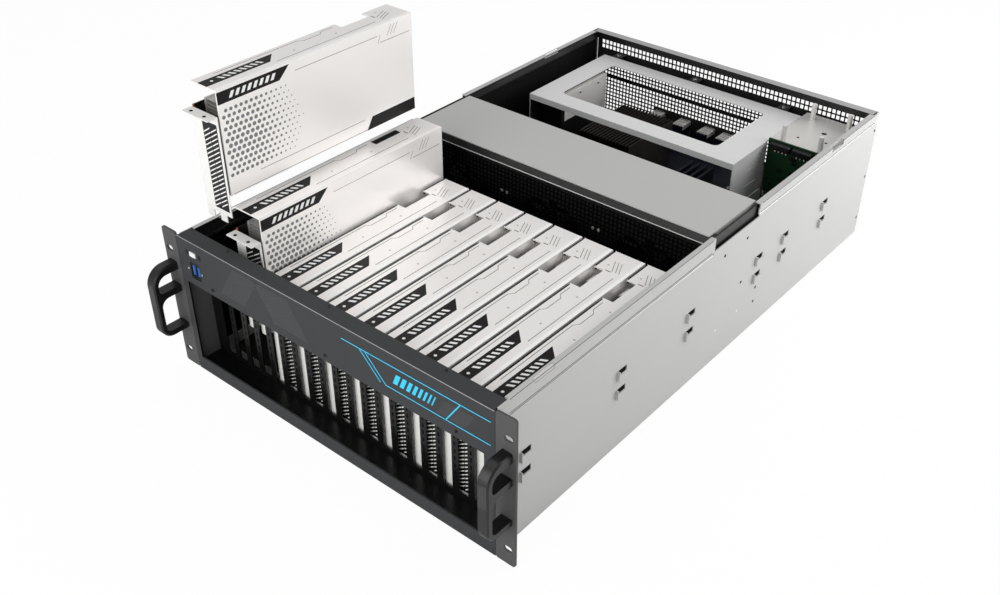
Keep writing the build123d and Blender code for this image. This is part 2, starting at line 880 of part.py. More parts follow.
# Power supply bay: a hood over the supplies, with posts for the main board on its roof
main_middle = (main_left + main_right) / 2
with BuildPart() as supply_bay:
    add(
        folded_sheet(
            [(bay_left, sheet), (bay_left, bay_roof), (bay_right, bay_roof), (bay_right, sheet)],
            across(bay_rear),
            bay_rear - cover_rear - 10,
            side=-1,
        )
    )
    block(
        (supply_first_x + supply_pitch / 2 - 1, supply_first_x + supply_pitch / 2 + 1),
        (at(bay_rear - supply_length + 10), at(bay_rear)),
        (sheet, bay_roof - sheet / 2),
    )
    block(
        (supply_first_x + 1.5 * supply_pitch - 1, supply_first_x + 1.5 * supply_pitch + 1),
        (at(bay_rear - supply_length + 10), at(bay_rear)),
        (sheet, bay_roof - sheet / 2),
    )
    with BuildSketch(Plane.XY.offset(bay_roof - sheet / 2)):
        with Locations((main_middle, at((main_front + main_rear) / 2))):
            with GridLocations(
                main_right - main_left - 20, (main_rear - main_front) / 2 - 10, 2, 3
            ):
                RegularPolygon(4, 6)
    extrude(amount=board_post + sheet / 2)
supply_bay.part.label = "supply_bay"
export_step(supply_bay.part, "parts/supply_bay.step")

# Power supply: a metal case with an inlet, a fan opening, a pull and a latch at the rear
supply_rear = chassis_depth
supply_z = (supply_bottom, supply_bottom + supply_height)
with BuildPart() as power_supply:
    block(
        (-supply_width / 2, supply_width / 2),
        (at(supply_rear - supply_length), at(supply_rear)),
        supply_z,
    )
    with BuildSketch(across(supply_rear)):
        with Locations((supply_width / 2 - 20, sum(supply_z) / 2)):
            Circle(supply_fan_radius)
    extrude(amount=12, mode=Mode.SUBTRACT)
    with BuildSketch(across(supply_rear)):
        with Locations((supply_width / 2 - 20, sum(supply_z) / 2)):
            Circle(8)
            with GridLocations(1, 11, 1, 3):
                Rectangle(2 * supply_fan_radius + 2, 1.4)
    extrude(amount=1.2)
    block(
        (-supply_width / 2 + 7, -supply_width / 2 + 31),
        (at(supply_rear - 14), at(supply_rear + 1)),
        (supply_z[0] + 5, supply_z[0] + 24),
        mode=Mode.SUBTRACT,
    )
    for pin_x in (-6.0, 0.0, 6.0):
        pin = -supply_width / 2 + 19 + pin_x
        block(
            (pin - 1, pin + 1),
            (at(supply_rear - 14.5), at(supply_rear - 3)),
            (supply_z[0] + 12, supply_z[0] + 16),
        )
    with BuildSketch(Plane.XY.offset(supply_z[1] - 9)):
        with BuildLine():
            pull_left = -supply_width / 2 + 6
            pull_right = supply_width / 2 - 4
            Polyline(
                (pull_left, at(supply_rear - 1)),
                (pull_left, at(supply_rear + supply_pull_reach)),
                (pull_right, at(supply_rear + supply_pull_reach)),
                (pull_right, at(supply_rear - 1)),
                (pull_right - 3, at(supply_rear - 1)),
                (pull_right - 3, at(supply_rear + supply_pull_reach - 3)),
                (pull_left + 3, at(supply_rear + supply_pull_reach - 3)),
                (pull_left + 3, at(supply_rear - 1)),
                close=True,
            )
        make_face()
    extrude(amount=6)
    fillet(
        power_supply.edges().filter_by(Axis.Z).group_by(Axis.Y)[-1],
        4,
    )
for number in (1, 2):
    supply = power_supply.part.moved(Location((supply_first_x + supply_pitch * (number - 1), 0, 0)))
    supply.label = f"power_supply_{number}"
    export_step(supply, f"parts/power_supply_{number}.step")


# Main board with its rear ports and memory
main_top = main_bottom + board_thickness
with BuildPart() as main_sheet:
    block((main_left, main_right), (at(main_front), at(main_rear)), (main_bottom, main_top))
with BuildPart() as main_ports:
    for x in port_x:
        block(
            (x - port_width / 2, x + port_width / 2),
            (at(chassis_depth - port_depth), at(chassis_depth)),
            (main_top, main_top + port_height),
        )
        block(
            (x - port_width / 2 + 2, x + port_width / 2 - 2),
            (at(chassis_depth - 10), at(chassis_depth + 1)),
            (main_top + 3, main_top + port_height - 4),
            mode=Mode.SUBTRACT,
        )
with BuildPart() as main_memory:
    for x in memory_x:
        block(
            (x - memory_thickness / 2, x + memory_thickness / 2),
            (at(chassis_depth - memory_back - memory_length), at(chassis_depth - memory_back)),
            (main_top, main_top + memory_height),
        )
main_parts = [piece.part for piece in (main_sheet, main_ports, main_memory)]
main_board = Compound(label="main_board", children=main_parts)
export_step(main_board, "parts/main_board.step")

# Processor cooler: upright fins on a base
with BuildPart() as cooler:
    with BuildSketch(across(chassis_depth - cooler_back + cooler_length / 2)):
        with Locations((cooler_x, main_top + cooler_base / 2)):
            Rectangle(cooler_width, cooler_base)
        with Locations((cooler_x, main_top + cooler_height / 2)):
            with GridLocations((cooler_width - cooler_fin) / (cooler_fins - 1), 1, cooler_fins, 1):
                Rectangle(cooler_fin, cooler_height)
    extrude(amount=cooler_length)
cooler.part.label = "cooler"
export_step(cooler.part, "parts/cooler.step")

# Power box: an upright metal case beside the main board
box_back = chassis_depth - box_rear_gap
with BuildPart() as power_box:
    block(
        (box_left, box_right),
        (at(box_back - box_length), at(box_back)),
        (bay_roof, box_top),
    )
power_box.part.label = "power_box"
export_step(power_box.part, "parts/power_box.step")

# Bridge: a folded plate over the main board, with a window and two feet
bridge_back = chassis_depth - bridge_rear_gap
bridge_front = bridge_back - bridge_length
with BuildPart() as bridge:
    add(
        folded_sheet(
            [
                (bridge_left - 12, bay_roof + sheet),
                (bridge_left, bay_roof + sheet),
                (bridge_left, bridge_top),
                (bridge_right, bridge_top),
                (bridge_right, bay_roof),
                (bridge_right - 14, bay_roof),
            ],
            across(bridge_front + bridge_wall_length),
            bridge_wall_length,
            side=-1,
        )
    )
    block(
        (bridge_left, bridge_right),
        (at(bridge_front), at(bridge_back)),
        (bridge_top - sheet, bridge_top),
    )
    for low_y in (bridge_front, bridge_back - sheet):
        block(
            (bridge_left, bridge_right),
            (at(low_y), at(low_y + sheet)),
            (bridge_top - bridge_flange, bridge_top),
        )
    with BuildSketch(Plane.XY.offset(bridge_top - 2 * sheet)):
        window_middle = bridge_front + bridge_window_front + bridge_window_length / 2
        with Locations(((bridge_window_left + bridge_window_right) / 2, at(window_middle))):
            RectangleRounded(
                bridge_window_right - bridge_window_left,
                bridge_window_length,
                bridge_window_radius,
            )
    extrude(amount=3 * sheet, mode=Mode.SUBTRACT)
    for slot_y, slot_z in bridge_slots:
        block(
            (bridge_right - 2 * sheet, bridge_right + 1),
            (
                at(bridge_front + slot_y - bridge_slot_length / 2),
                at(bridge_front + slot_y + bridge_slot_length / 2),
            ),
            (slot_z - bridge_slot_width / 2, slot_z + bridge_slot_width / 2),
            mode=Mode.SUBTRACT,
        )
bridge.part.label = "bridge"
export_step(bridge.part, "parts/bridge.step")


# Rear panel: openings for the ports, supplies and drives, three tabs and a top flange
with BuildPart() as rear_panel:
    add(
        folded_sheet(
            [
                (at(chassis_depth), 0),
                (at(chassis_depth), body_height),
                (at(chassis_depth - rear_flange), body_height),
            ],
            lengthwise(-panel_half),
            2 * panel_half,
        )
    )
    with BuildSketch(across(chassis_depth + 1)):
        for x in port_x:
            with Locations((x, main_top + port_height / 2)):
                Rectangle(port_width + 0.6, port_height + 0.6)
        for number in (0, 1):
            with Locations((supply_first_x + supply_pitch * number, sum(supply_z) / 2)):
                Rectangle(supply_width + 0.8, supply_height + 0.8)
        for tray_z in tray_heights:
            with Locations((tray_x, tray_z + tray_height / 2)):
                Rectangle(tray_width + 0.8, tray_height + 0.8)
    extrude(amount=3, mode=Mode.SUBTRACT)
    for x in panel_tabs:
        block(
            (x - panel_tab_width / 2, x + panel_tab_width / 2),
            (at(bridge_back), at(chassis_depth - sheet / 2)),
            (bridge_top - 4, bridge_top - 2),
        )
rear_panel.part.label = "rear_panel"
export_step(rear_panel.part, "parts/rear_panel.step")

# Drive cage: a roof, two walls and two shelves, with four hexagonal posts on the roof
cage_front = chassis_depth - cage_front_gap
cage_y = (at(cage_front), at(cage_front + cage_length))
post_middle = (post_centre_x, at(cage_front + 6.0 + post_spacing_y / 2))
with BuildPart() as drive_cage:
    add(
        folded_sheet(
            [(cage_left, sheet), (cage_left, cage_top), (cage_right, cage_top), (cage_right, sheet)],
            across(cage_front + cage_length),
            cage_length,
            side=-1,
        )
    )
    for tray_z in tray_heights:
        block(
            (cage_left + sheet / 2, cage_right - sheet / 2),
            cage_y,
            (tray_z - fit_gap - sheet, tray_z - fit_gap),
        )
    with BuildSketch(Plane.XY.offset(cage_top - 2 * sheet)):
        with Locations((cage_left + 44.8, at(cage_front + 56))):
            Circle(plate_hole_radius)
        with Locations((cage_left + 24.3, at(cage_front + 26)), (cage_left + 58.3, at(cage_front + 34))):
            Circle(2.2)
    extrude(amount=3 * sheet, mode=Mode.SUBTRACT)
    with BuildSketch(Plane.XY.offset(cage_top - sheet / 2)):
        with Locations(post_middle):
            with GridLocations(post_spacing_x, post_spacing_y, 2, 2):
                RegularPolygon(post_radius, 6)
    extrude(amount=post_height + sheet / 2)
drive_cage.part.label = "drive_cage"
export_step(drive_cage.part, "parts/drive_cage.step")

# Drive boards: two boards across the cage's front, the upper one with two power plugs
board_y = (at(cage_front - green_thickness), at(cage_front))
green_boards = []
for low_z, high_z in (green_upper, green_lower):
    with BuildPart() as green_board:
        block((green_left, green_right), board_y, (low_z, high_z))
    green_boards.append(green_board.part)
with BuildPart() as green_plugs:
    for x in plug_x:
        block(
            (x - plug_width / 2, x + plug_width / 2),
            (board_y[0] - plug_depth, board_y[0]),
            (plug_z - plug_height / 2, plug_z + plug_height / 2),
        )
drive_boards = Compound(label="drive_boards", children=green_boards + [green_plugs.part])
export_step(drive_boards, "parts/drive_boards.step")

# Drive trays: a slim case with a face plate and a finger pull
for number, tray_z in enumerate(tray_heights, start=1):
    with BuildPart() as drive_tray:
        block(
            (tray_x - tray_width / 2 + 1, tray_x + tray_width / 2 - 1),
            (at(cage_front + 5), at(chassis_depth - tray_face + 1)),
            (tray_z, tray_z + tray_height - 1.5),
        )
        block(
            (tray_x - tray_width / 2, tray_x + tray_width / 2),
            (at(chassis_depth - tray_face), at(chassis_depth + 1)),
            (tray_z, tray_z + tray_height),
        )
        block(
            (tray_x - 12, tray_x + 12),
            (at(chassis_depth - 8), at(chassis_depth + 2)),
            (tray_z + 5, tray_z + 11),
            mode=Mode.SUBTRACT,
        )
    drive_tray.part.label = f"drive_tray_{number}"
    export_step(drive_tray.part, f"parts/drive_tray_{number}.step")
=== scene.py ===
"""Looks for an open rack server with two of its accelerator cards drawn up out of their slots.

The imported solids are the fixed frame. Each class below dresses one sub-assembly: it gives the
solids their finishes and adds the pieces that are too fine for them. Sizes are in millimetres,
and depths are measured back from the front face of the rack ears.
"""

from __future__ import annotations

import logging
import math
import random
from collections.abc import Mapping, Sequence
from dataclasses import dataclass, field
from enum import Enum

import bpy
from mathutils import Euler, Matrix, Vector

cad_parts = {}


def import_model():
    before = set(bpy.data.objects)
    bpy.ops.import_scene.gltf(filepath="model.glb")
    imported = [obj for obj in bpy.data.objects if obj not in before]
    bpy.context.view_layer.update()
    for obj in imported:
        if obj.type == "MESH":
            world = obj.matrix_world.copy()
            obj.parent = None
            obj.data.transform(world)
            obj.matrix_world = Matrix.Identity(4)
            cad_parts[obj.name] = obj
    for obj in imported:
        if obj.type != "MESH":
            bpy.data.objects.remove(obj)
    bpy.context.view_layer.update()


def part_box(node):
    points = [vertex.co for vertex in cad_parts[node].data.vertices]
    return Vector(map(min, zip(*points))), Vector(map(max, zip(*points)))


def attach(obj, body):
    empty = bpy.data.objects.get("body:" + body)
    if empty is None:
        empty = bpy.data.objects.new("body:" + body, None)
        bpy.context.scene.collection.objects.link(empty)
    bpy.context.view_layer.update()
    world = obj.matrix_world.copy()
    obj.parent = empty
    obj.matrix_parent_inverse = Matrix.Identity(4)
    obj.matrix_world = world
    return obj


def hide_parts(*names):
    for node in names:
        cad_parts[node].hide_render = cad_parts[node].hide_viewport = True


LOG = logging.getLogger("rack_server")
MM = 0.001
X, Y, Z = 0, 1, 2
CHASSIS = "chassis"
SIDES = {"left": -1.0, "right": 1.0}
WHITE = (1.0, 1.0, 1.0, 1.0)

Span = tuple[float, float]
Point = tuple[float, float, float]
Piece = bpy.types.Object


class Grain(Enum):
    """How a finish is broken up close to: the pattern's stretch along X, Y and Z."""

    EVEN = (1.0, 1.0, 1.0)
    ALONG_Y = (1.0, 0.02, 1.0)
    ALONG_Z = (1.0, 1.0, 0.02)


class Facing(Enum):
    """The way a screw or a plug faces, as turns about X, Y and Z in degrees."""

    UP = (0.0, 0.0, 0.0)
    FRONT = (90.0, 0.0, 0.0)
    BACK = (-90.0, 0.0, 0.0)
    RIGHT = (0.0, 90.0, 0.0)
    LEFT = (0.0, -90.0, 0.0)

    def turn(self) -> Euler:
        """Returns the turns as a rotation."""
        return Euler([math.radians(turn) for turn in self.value])


def linear(colour: str) -> tuple[float, float, float, float]:
    """Returns a plain hexadecimal colour as linear values.

    Args:
        colour: Its six digits.

    Returns:
        Red, green, blue and alpha.
    """
    parts = [int(colour[start : start + 2], 16) / 255 for start in (0, 2, 4)]
    bent = [c / 12.92 if c <= 0.04045 else ((c + 0.055) / 1.055) ** 2.4 for c in parts]
    return bent[0], bent[1], bent[2], 1.0


def add_node(
    tree: bpy.types.NodeTree,
    kind: str,
    feeds: Mapping[str | int, object] | None = None,
    **settings: object,
) -> bpy.types.Node:
    """Adds a shader node to a tree.

    Args:
        tree: The node tree.
        kind: The node's kind, without the words that every kind starts with.
        feeds: For inputs by name or number, the socket that feeds each or its constant.
        settings: The node's own properties.

    Returns:
        The node.
    """
    node = tree.nodes.new(f"ShaderNode{kind}")
    for key, value in settings.items():
        setattr(node, key, value)
    for key, value in (feeds or {}).items():
        if isinstance(value, bpy.types.NodeSocket):
            tree.links.new(value, node.inputs[key])
        else:
            node.inputs[key].default_value = value
    return node


def show_camera(
    tree: bpy.types.NodeTree, lighting: bpy.types.Node, share: float, kind: str, output: str
) -> None:
    """Shows plain white to the camera, over a shader that the rest of the light meets.

    Args:
        tree: The node tree of a material or a world.
        lighting: The shader that lights the scene.
        share: How much of the white the camera sees.
        kind: The kind of node that gives the white.
        output: The name of the tree's output node.
    """
    rays = add_node(tree, "LightPath").outputs["Is Camera Ray"]
    part = add_node(tree, "Math", {0: rays, 1: share}, operation="MULTIPLY").outputs[0]
    seen = add_node(tree, kind, {"Color": WHITE, "Strength": 1.0}).outputs[0]
    mix = add_node(tree, "MixShader", {"Fac": part, 1: lighting.outputs[0], 2: seen})
    tree.links.new(mix.outputs["Shader"], tree.nodes[output].inputs["Surface"])


@dataclass(frozen=True)
class Finish:
    """One procedural surface finish, with its colours as plain hexadecimal values."""

    name: str
    colour: str
    metallic: float
    roughness: float
    grain_size: float
    relief: float
    mottle: float
    grain: Grain = Grain.EVEN
    glow: float = 0.0
    shine: float = 0.5
    # A darker colour for the faces that look into the chassis: painted shade inside it.
    inner_shade: str = ""

    def material(self) -> bpy.types.Material:
        """Builds the finish's material at its first use.

        Returns:
            The material.
        """
        title = f"{self.name}_finish"
        found = bpy.data.materials.get(title)
        if found:
            return found
        made = bpy.data.materials.new(title)
        made.use_nodes = True
        tree = made.node_tree
        shader = tree.nodes["Principled BSDF"]
        shader.inputs["Metallic"].default_value = self.metallic
        shader.inputs["Specular IOR Level"].default_value = self.shine
        # Emission makes a surface glow, as painted light.
        if self.glow:
            shader.inputs["Emission Color"].default_value = linear(self.colour)
            shader.inputs["Emission Strength"].default_value = self.glow
        place = add_node(tree, "TexCoord").outputs["Object"]
        stretch = [value / (self.grain_size * MM) for value in self.grain.value]
        grained = add_node(tree, "Mapping", {"Vector": place, "Scale": stretch}).outputs["Vector"]
        fine = add_node(tree, "TexNoise", {"Vector": grained, "Scale": 1.0, "Detail": 3.0})
        broad = add_node(tree, "TexNoise", {"Vector": place, "Scale": 9.0, "Detail": 2.0})
        half = add_node(tree, "Math", {0: broad.outputs["Fac"], 1: 0.5}, operation="MULTIPLY")
        feeds = {0: fine.outputs["Fac"], 1: 0.5, 2: half.outputs[0]}
        mean = add_node(tree, "Math", feeds, operation="MULTIPLY_ADD").outputs[0]
        *tones, alpha = linear(self.colour)
        dark = (*(tone * (1 - self.mottle) for tone in tones), alpha)
        pale = (*(min(tone * (1 + self.mottle), 1) for tone in tones), alpha)
        blend = add_node(tree, "Mix", data_type="RGBA")
        blend.inputs["A"].default_value = dark
        blend.inputs["B"].default_value = pale
        tree.links.new(mean, blend.inputs["Factor"])
        colour = blend.outputs["Result"]
        if self.inner_shade:
            colour = self.shade_inner_faces(tree, place, colour)
        tree.links.new(colour, shader.inputs["Base Color"])
        low, high = self.roughness * 0.85, min(self.roughness * 1.15, 1)
        sheen = add_node(tree, "MapRange", {"Value": mean, "To Min": low, "To Max": high})
        tree.links.new(sheen.outputs["Result"], shader.inputs["Roughness"])
        feeds = {"Strength": self.relief, "Distance": 0.2 * MM, "Height": fine.outputs["Fac"]}
        bump = add_node(tree, "Bump", feeds)
        tree.links.new(bump.outputs["Normal"], shader.inputs["Normal"])
        return made

    def shade_inner_faces(
        self, tree: bpy.types.NodeTree, place: bpy.types.NodeSocket, colour: bpy.types.NodeSocket
    ) -> bpy.types.NodeSocket:
        """Paints shade on the faces that look towards the middle of the chassis, in the inner
        shade's colour.

        Args:
            tree: The material's node tree.
            place: The object coordinates.
            colour: The colour of all other faces.

        Returns:
            The colour of all faces.
        """
        spot = add_node(tree, "SeparateXYZ", {0: place}).outputs["X"]
        normal = add_node(tree, "NewGeometry").outputs["True Normal"]
        turned = add_node(tree, "SeparateXYZ", {0: normal}).outputs["X"]
        product = add_node(tree, "Math", {0: spot, 1: turned}, operation="MULTIPLY").outputs[0]
        inward = add_node(tree, "Math", {0: product, 1: -0.04}, operation="LESS_THAN").outputs[0]
        choice = add_node(tree, "Mix", data_type="RGBA")
        choice.inputs["B"].default_value = linear(self.inner_shade)
        tree.links.new(colour, choice.inputs["A"])
        tree.links.new(inward, choice.inputs["Factor"])
        return choice.outputs["Result"]


# Name, colour, metallic, roughness, grain size, relief and mottle of each finish.
ZINC = Finish("zinc_sheet", "c9c9c8", 0.5, 0.42, 1.5, 0.03, 0.03)
# Its faces that look into the chassis are painted darker, as painted shade inside it.
WALL_ZINC = Finish("wall_zinc", "c3c3c2", 0.3, 0.4, 1.5, 0.03, 0.03, inner_shade="303031")
BARE_STEEL = Finish("bare_steel", "dddbd8", 0.3, 0.38, 0.5, 0.04, 0.05, Grain.ALONG_Z)
# Black for holes, slots and vents, also used as painted shade: the sheet inside the side walls and
# the strips in the gaps between cards.
HOLE_BLACK_AND_PAINTED_SHADE = Finish("hole_black_and_painted_shade", "0c0c0c", 0.0, 0.7, 1.5, 0.05, 0.1, shine=0.1)
# Its faces that look into the chassis are painted near black, as painted shade.
BEZEL_PAINT = Finish("bezel_paint", "3d3e3f", 0.0, 0.55, 0.7, 0.1, 0.05, shine=0.1, inner_shade="101010")
# A pale strip along the bezel's top edge, as painted highlight.
BEZEL_EDGE_HIGHLIGHT = Finish("bezel_edge_highlight", "9a9a9a", 0.3, 0.35, 0.7, 0.05, 0.05)
HATCH_INK = Finish("hatch_ink", "5a5c5d", 0.0, 0.5, 0.7, 0.02, 0.04, shine=0.1)
EAR_PAINT = Finish("ear_paint", "515151", 0.0, 0.55, 0.6, 0.12, 0.06, shine=0.15)
BLACK_GRIP = Finish("black_grip", "0d0d0d", 0.0, 0.38, 0.8, 0.08, 0.1)
# Grey of the grip's knurling ridges, also used for the lines of painted shade along the side rails.
RIDGE_AND_GROOVE_SHADE_GREY = Finish("ridge_and_groove_shade_grey", "4c4c4c", 0.0, 0.5, 0.8, 0.05, 0.05, shine=0.2)
# The blue print also glows slightly, as painted light; the print is no lamp.
BLUE_INK_WITH_PAINTED_GLOW = Finish("blue_ink_with_painted_glow", "1fb4dc", 0.0, 0.35, 1.0, 0.02, 0.03, glow=0.3)
PORT_BLUE = Finish("port_blue", "1f5fae", 0.0, 0.35, 1.0, 0.04, 0.06)
WHITE_CAP = Finish("white_cap", "e8e8e6", 0.0, 0.4, 0.8, 0.03, 0.03)
NICKEL = Finish("bright_nickel", "eeedea", 0.15, 0.4, 0.6, 0.03, 0.03, Grain.ALONG_Z)
GLOSS_BLACK = Finish("gloss_black", "0a0a0a", 0.0, 0.3, 1.0, 0.02, 0.05, shine=0.3)
# Dark grey for the lip under the cover, as painted shade and painted reflection of the dark parts
# before it.
LIP_SHADE_GREY = Finish("lip_shade_grey", "2c2c2d", 0.3, 0.36, 0.8, 0.06, 0.06)
BLACK_STEEL = Finish("black_steel", "202021", 0.0, 0.42, 0.8, 0.08, 0.08, shine=0.4)
FAN_BLACK = Finish("fan_black", "060607", 0.0, 0.65, 0.9, 0.06, 0.08, shine=0.05)
CARD_SILVER = Finish("card_silver", "f8f5f3", 0.3, 0.34, 0.35, 0.03, 0.02, Grain.ALONG_Y)
# A paler strip along the shroud's rounded edge, as painted highlight.
CARD_FOLD_HIGHLIGHT = Finish("card_fold_highlight", "fbfaf8", 0.0, 0.3, 0.35, 0.02, 0.01, Grain.ALONG_Y)
CARD_INK = Finish("card_ink", "100e0d", 0.0, 0.4, 0.8, 0.03, 0.06, shine=0.2)
CARD_GREY_INK = Finish("card_grey_ink", "757474", 0.0, 0.4, 0.8, 0.02, 0.04)
CARD_LINE = Finish("card_line", "7d7874", 0.2, 0.4, 0.8, 0.02, 0.05)
CARD_WHITE_INK = Finish("card_white_ink", "eeeeec", 0.0, 0.4, 0.8, 0.02, 0.02)
BOARD_BLACK = Finish("board_black", "100f0d", 0.0, 0.45, 0.5, 0.1, 0.15, shine=0.3)
COPPER = Finish("copper_edge", "b5682f", 0.5, 0.35, 0.5, 0.05, 0.1, Grain.ALONG_Y)
GOLD = Finish("gold_contact", "c79a43", 0.9, 0.28, 0.4, 0.03, 0.06, Grain.ALONG_Z)
FIN_METAL = Finish("fin_metal", "c4c1bd", 0.5, 0.36, 0.5, 0.05, 0.08, Grain.ALONG_Y)
SOCKET_BLACK = Finish("socket_black", "0a0a0a", 0.0, 0.4, 0.8, 0.05, 0.1, shine=0.3)
# The power socket's own brown, darkened further as painted shade in the flange's notch.
SOCKET_BROWN_AND_SHADE = Finish("socket_brown_and_shade", "4a3a30", 0.0, 0.4, 0.8, 0.05, 0.1)
COVER_PAINT = Finish("cover_paint", "b9b9b7", 0.05, 0.5, 0.8, 0.06, 0.02, shine=0.3)
# A pale line under the lip, as painted highlight.
LIP_HIGHLIGHT = Finish("lip_highlight", "e6e6e4", 0.2, 0.3, 0.8, 0.03, 0.02)
# Its faces that look into the chassis, round its window, are painted dark, as painted shade.
BRIDGE_PAINT = Finish("bridge_paint", "dcdddc", 0.1, 0.42, 0.8, 0.06, 0.03, inner_shade="1c1c1c")
NAVY_BOARD = Finish("navy_board", "0d1120", 0.0, 0.42, 0.4, 0.12, 0.2, shine=0.3)
GREEN_BOARD = Finish("green_board", "0f3018", 0.0, 0.4, 0.4, 0.12, 0.2, shine=0.3)
DARK_FIN = Finish("dark_fin", "26221f", 0.5, 0.38, 0.5, 0.05, 0.1, Grain.ALONG_Y)
MESH_BLACK = Finish("mesh_black", "060607", 0.0, 0.6, 0.8, 0.06, 0.08, shine=0.05)
RIM_GREY = Finish("rim_grey", "a2a2a2", 0.0, 0.5, 0.8, 0.06, 0.05, shine=0.3)
SCREW_DARK = Finish("screw_dark", "202020", 0.4, 0.35, 0.5, 0.04, 0.08)
SCREW_BRIGHT = Finish("screw_bright", "c9c7c2", 0.9, 0.26, 0.5, 0.04, 0.06)
LATCH_ORANGE = Finish("latch_orange", "a8492a", 0.0, 0.4, 0.8, 0.05, 0.06)
# Black for chips, also used as painted shade on the front of the power box.
CHIP_BLACK_AND_PAINTED_SHADE = Finish("chip_black_and_painted_shade", "0a0b0c", 0.0, 0.45, 0.4, 0.05, 0.1, shine=0.3)


@dataclass(frozen=True)
class Box:
    """The spans that a solid takes up: across, in depth and in height."""

    x: Span
    y: Span
    z: Span


@dataclass
class Bench:
    """Models pieces with hand tools, in millimetres, and hands them back in metres."""

    ear_front: float

    def point(self, x: float, depth: float, z: float) -> Vector:
        """Returns a place in the row frame, in metres."""
        return Vector((x, depth + self.ear_front, z)) * MM

    def box(self, node: str) -> Box:
        """Returns the spans of a solid of the frame, with depths behind the ears."""
        (x, y, z) = zip(*(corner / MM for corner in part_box(node)))
        return Box(x, (y[0] - self.ear_front, y[1] - self.ear_front), z)

    def deselect(self) -> None:
        """Leaves nothing selected."""
        bpy.ops.object.select_all(action="DESELECT")

    def take(self, piece: Piece) -> None:
        """Selects one piece alone and makes it active.

        Args:
            piece: The piece.
        """
        self.deselect()
        piece.select_set(True)
        bpy.context.view_layer.objects.active = piece

    def settle(self, piece: Piece, name: str) -> Piece:
        """Names a piece and moves its place, turn and size into its mesh.

        Args:
            piece: The piece.
            name: The name that it gets.

        Returns:
            The piece.
        """
        self.take(piece)
        bpy.ops.object.transform_apply(location=True, rotation=True, scale=True)
        piece.name = name
        piece.data.name = name
        return piece

    def apply(self, piece: Piece, kind: str, **settings: object) -> None:
        """Adds a modifier to a piece and applies it.

        Args:
            piece: The piece.
            kind: The modifier's kind.
            settings: The modifier's own properties.
        """
        self.take(piece)
        modifier = piece.modifiers.new(kind.title(), kind)
        for key, value in settings.items():
            setattr(modifier, key, value)
        bpy.ops.object.modifier_apply(modifier=modifier.name)

    def round_edges(self, piece: Piece, width: float) -> None:
        """Breaks a piece's sharp edges."""
        self.apply(piece, "BEVEL", width=width * MM, segments=1, limit_method="ANGLE")

    def pick(self, piece: Piece, *ends: tuple[int, bool]) -> None:
        """Opens a piece in edit mode with the vertices selected where the given ends meet.

        Args:
            piece: The piece, settled.
            ends: For each end its axis, and whether it is the one with the higher values.
        """
        self.take(piece)
        places = [vertex.co.copy() for vertex in piece.data.vertices]
        middle = [(min(values) + max(values)) / 2 for values in zip(*places)]
        bpy.ops.object.mode_set(mode="EDIT")
        bpy.ops.mesh.select_mode(type="VERT")
        bpy.ops.mesh.select_all(action="DESELECT")
        bpy.ops.object.mode_set(mode="OBJECT")
        for vertex, place in zip(piece.data.vertices, places):
            vertex.select = all((place[axis] > middle[axis]) is high for axis, high in ends)
        bpy.ops.object.mode_set(mode="EDIT")

    def draw(self, piece: Piece, axis: int, distance: float, *ends: tuple[int, bool]) -> Piece:
        """Draws an end or an edge of a piece along an axis.

        Args:
            piece: The piece, settled.
            axis: The axis that it is drawn along.
            distance: How far it is drawn.
            ends: The ends that meet where the piece is drawn, as for pick.

        Returns:
            The piece.
        """
        self.pick(piece, *ends)
        shift = [0.0, 0.0, 0.0]
        shift[axis] = distance * MM
        bpy.ops.transform.translate(value=shift)
        bpy.ops.object.mode_set(mode="OBJECT")
        return piece

    def block(self, name: str, x: Span, depth: Span, z: Span, bevel: float = 0.0) -> Piece:
        """Models a block between limits.

        Args:
            name: The piece's name.
            x: Its span across.
            depth: Its span in depth.
            z: Its span in height.
            bevel: The width of its broken edges, if it has them.

        Returns:
            The piece.
        """
        low, high = self.point(x[0], depth[0], z[0]), self.point(x[1], depth[1], z[1])
        self.deselect()
        bpy.ops.mesh.primitive_cube_add(size=1, location=(low + high) / 2)
        piece = bpy.context.object
        piece.scale = high - low
        self.settle(piece, name)
        if bevel:
            self.round_edges(piece, bevel)
        return piece

    def leaning(
        self, name: str, x: Span, depth: Span, z: Span, along: int, axis: int, lean: float
    ) -> Piece:
        """Models a block whose higher end is drawn sideways.

        Args:
            name: The piece's name.
            x: Its span across.
            depth: Its span in depth.
            z: Its span in height.
            along: The axis whose higher end is drawn.
            axis: The axis along which that end is drawn.
            lean: How far it is drawn.

        Returns:
            The piece.
        """
        return self.draw(self.block(name, x, depth, z), axis, lean, (along, True))

    def rod(
        self,
        name: str,
        base: Point,
        radius: float,
        length: float,
        facing: Facing = Facing.UP,
        sides: int = 20,
        bevel: float = 0.0,
    ) -> Piece:
        """Models a rod.

        Args:
            name: The piece's name.
            base: The middle of its base.
            radius: Its radius.
            length: Its length.
            facing: The way that it points.
            sides: The number of its sides.
            bevel: The width of its broken edges, if it has them.

        Returns:
            The piece.
        """
        self.deselect()
        bpy.ops.mesh.primitive_cylinder_add(
            vertices=sides, radius=radius * MM, depth=length * MM, location=(0, 0, length * MM / 2)
        )
        piece = self.settle(bpy.context.object, name)
        if bevel:
            self.round_edges(piece, bevel)
        piece.rotation_euler = facing.turn()
        piece.location = self.point(*base)
        self.settle(piece, name)
        bpy.ops.object.shade_smooth_by_angle(angle=math.radians(35))
        return piece

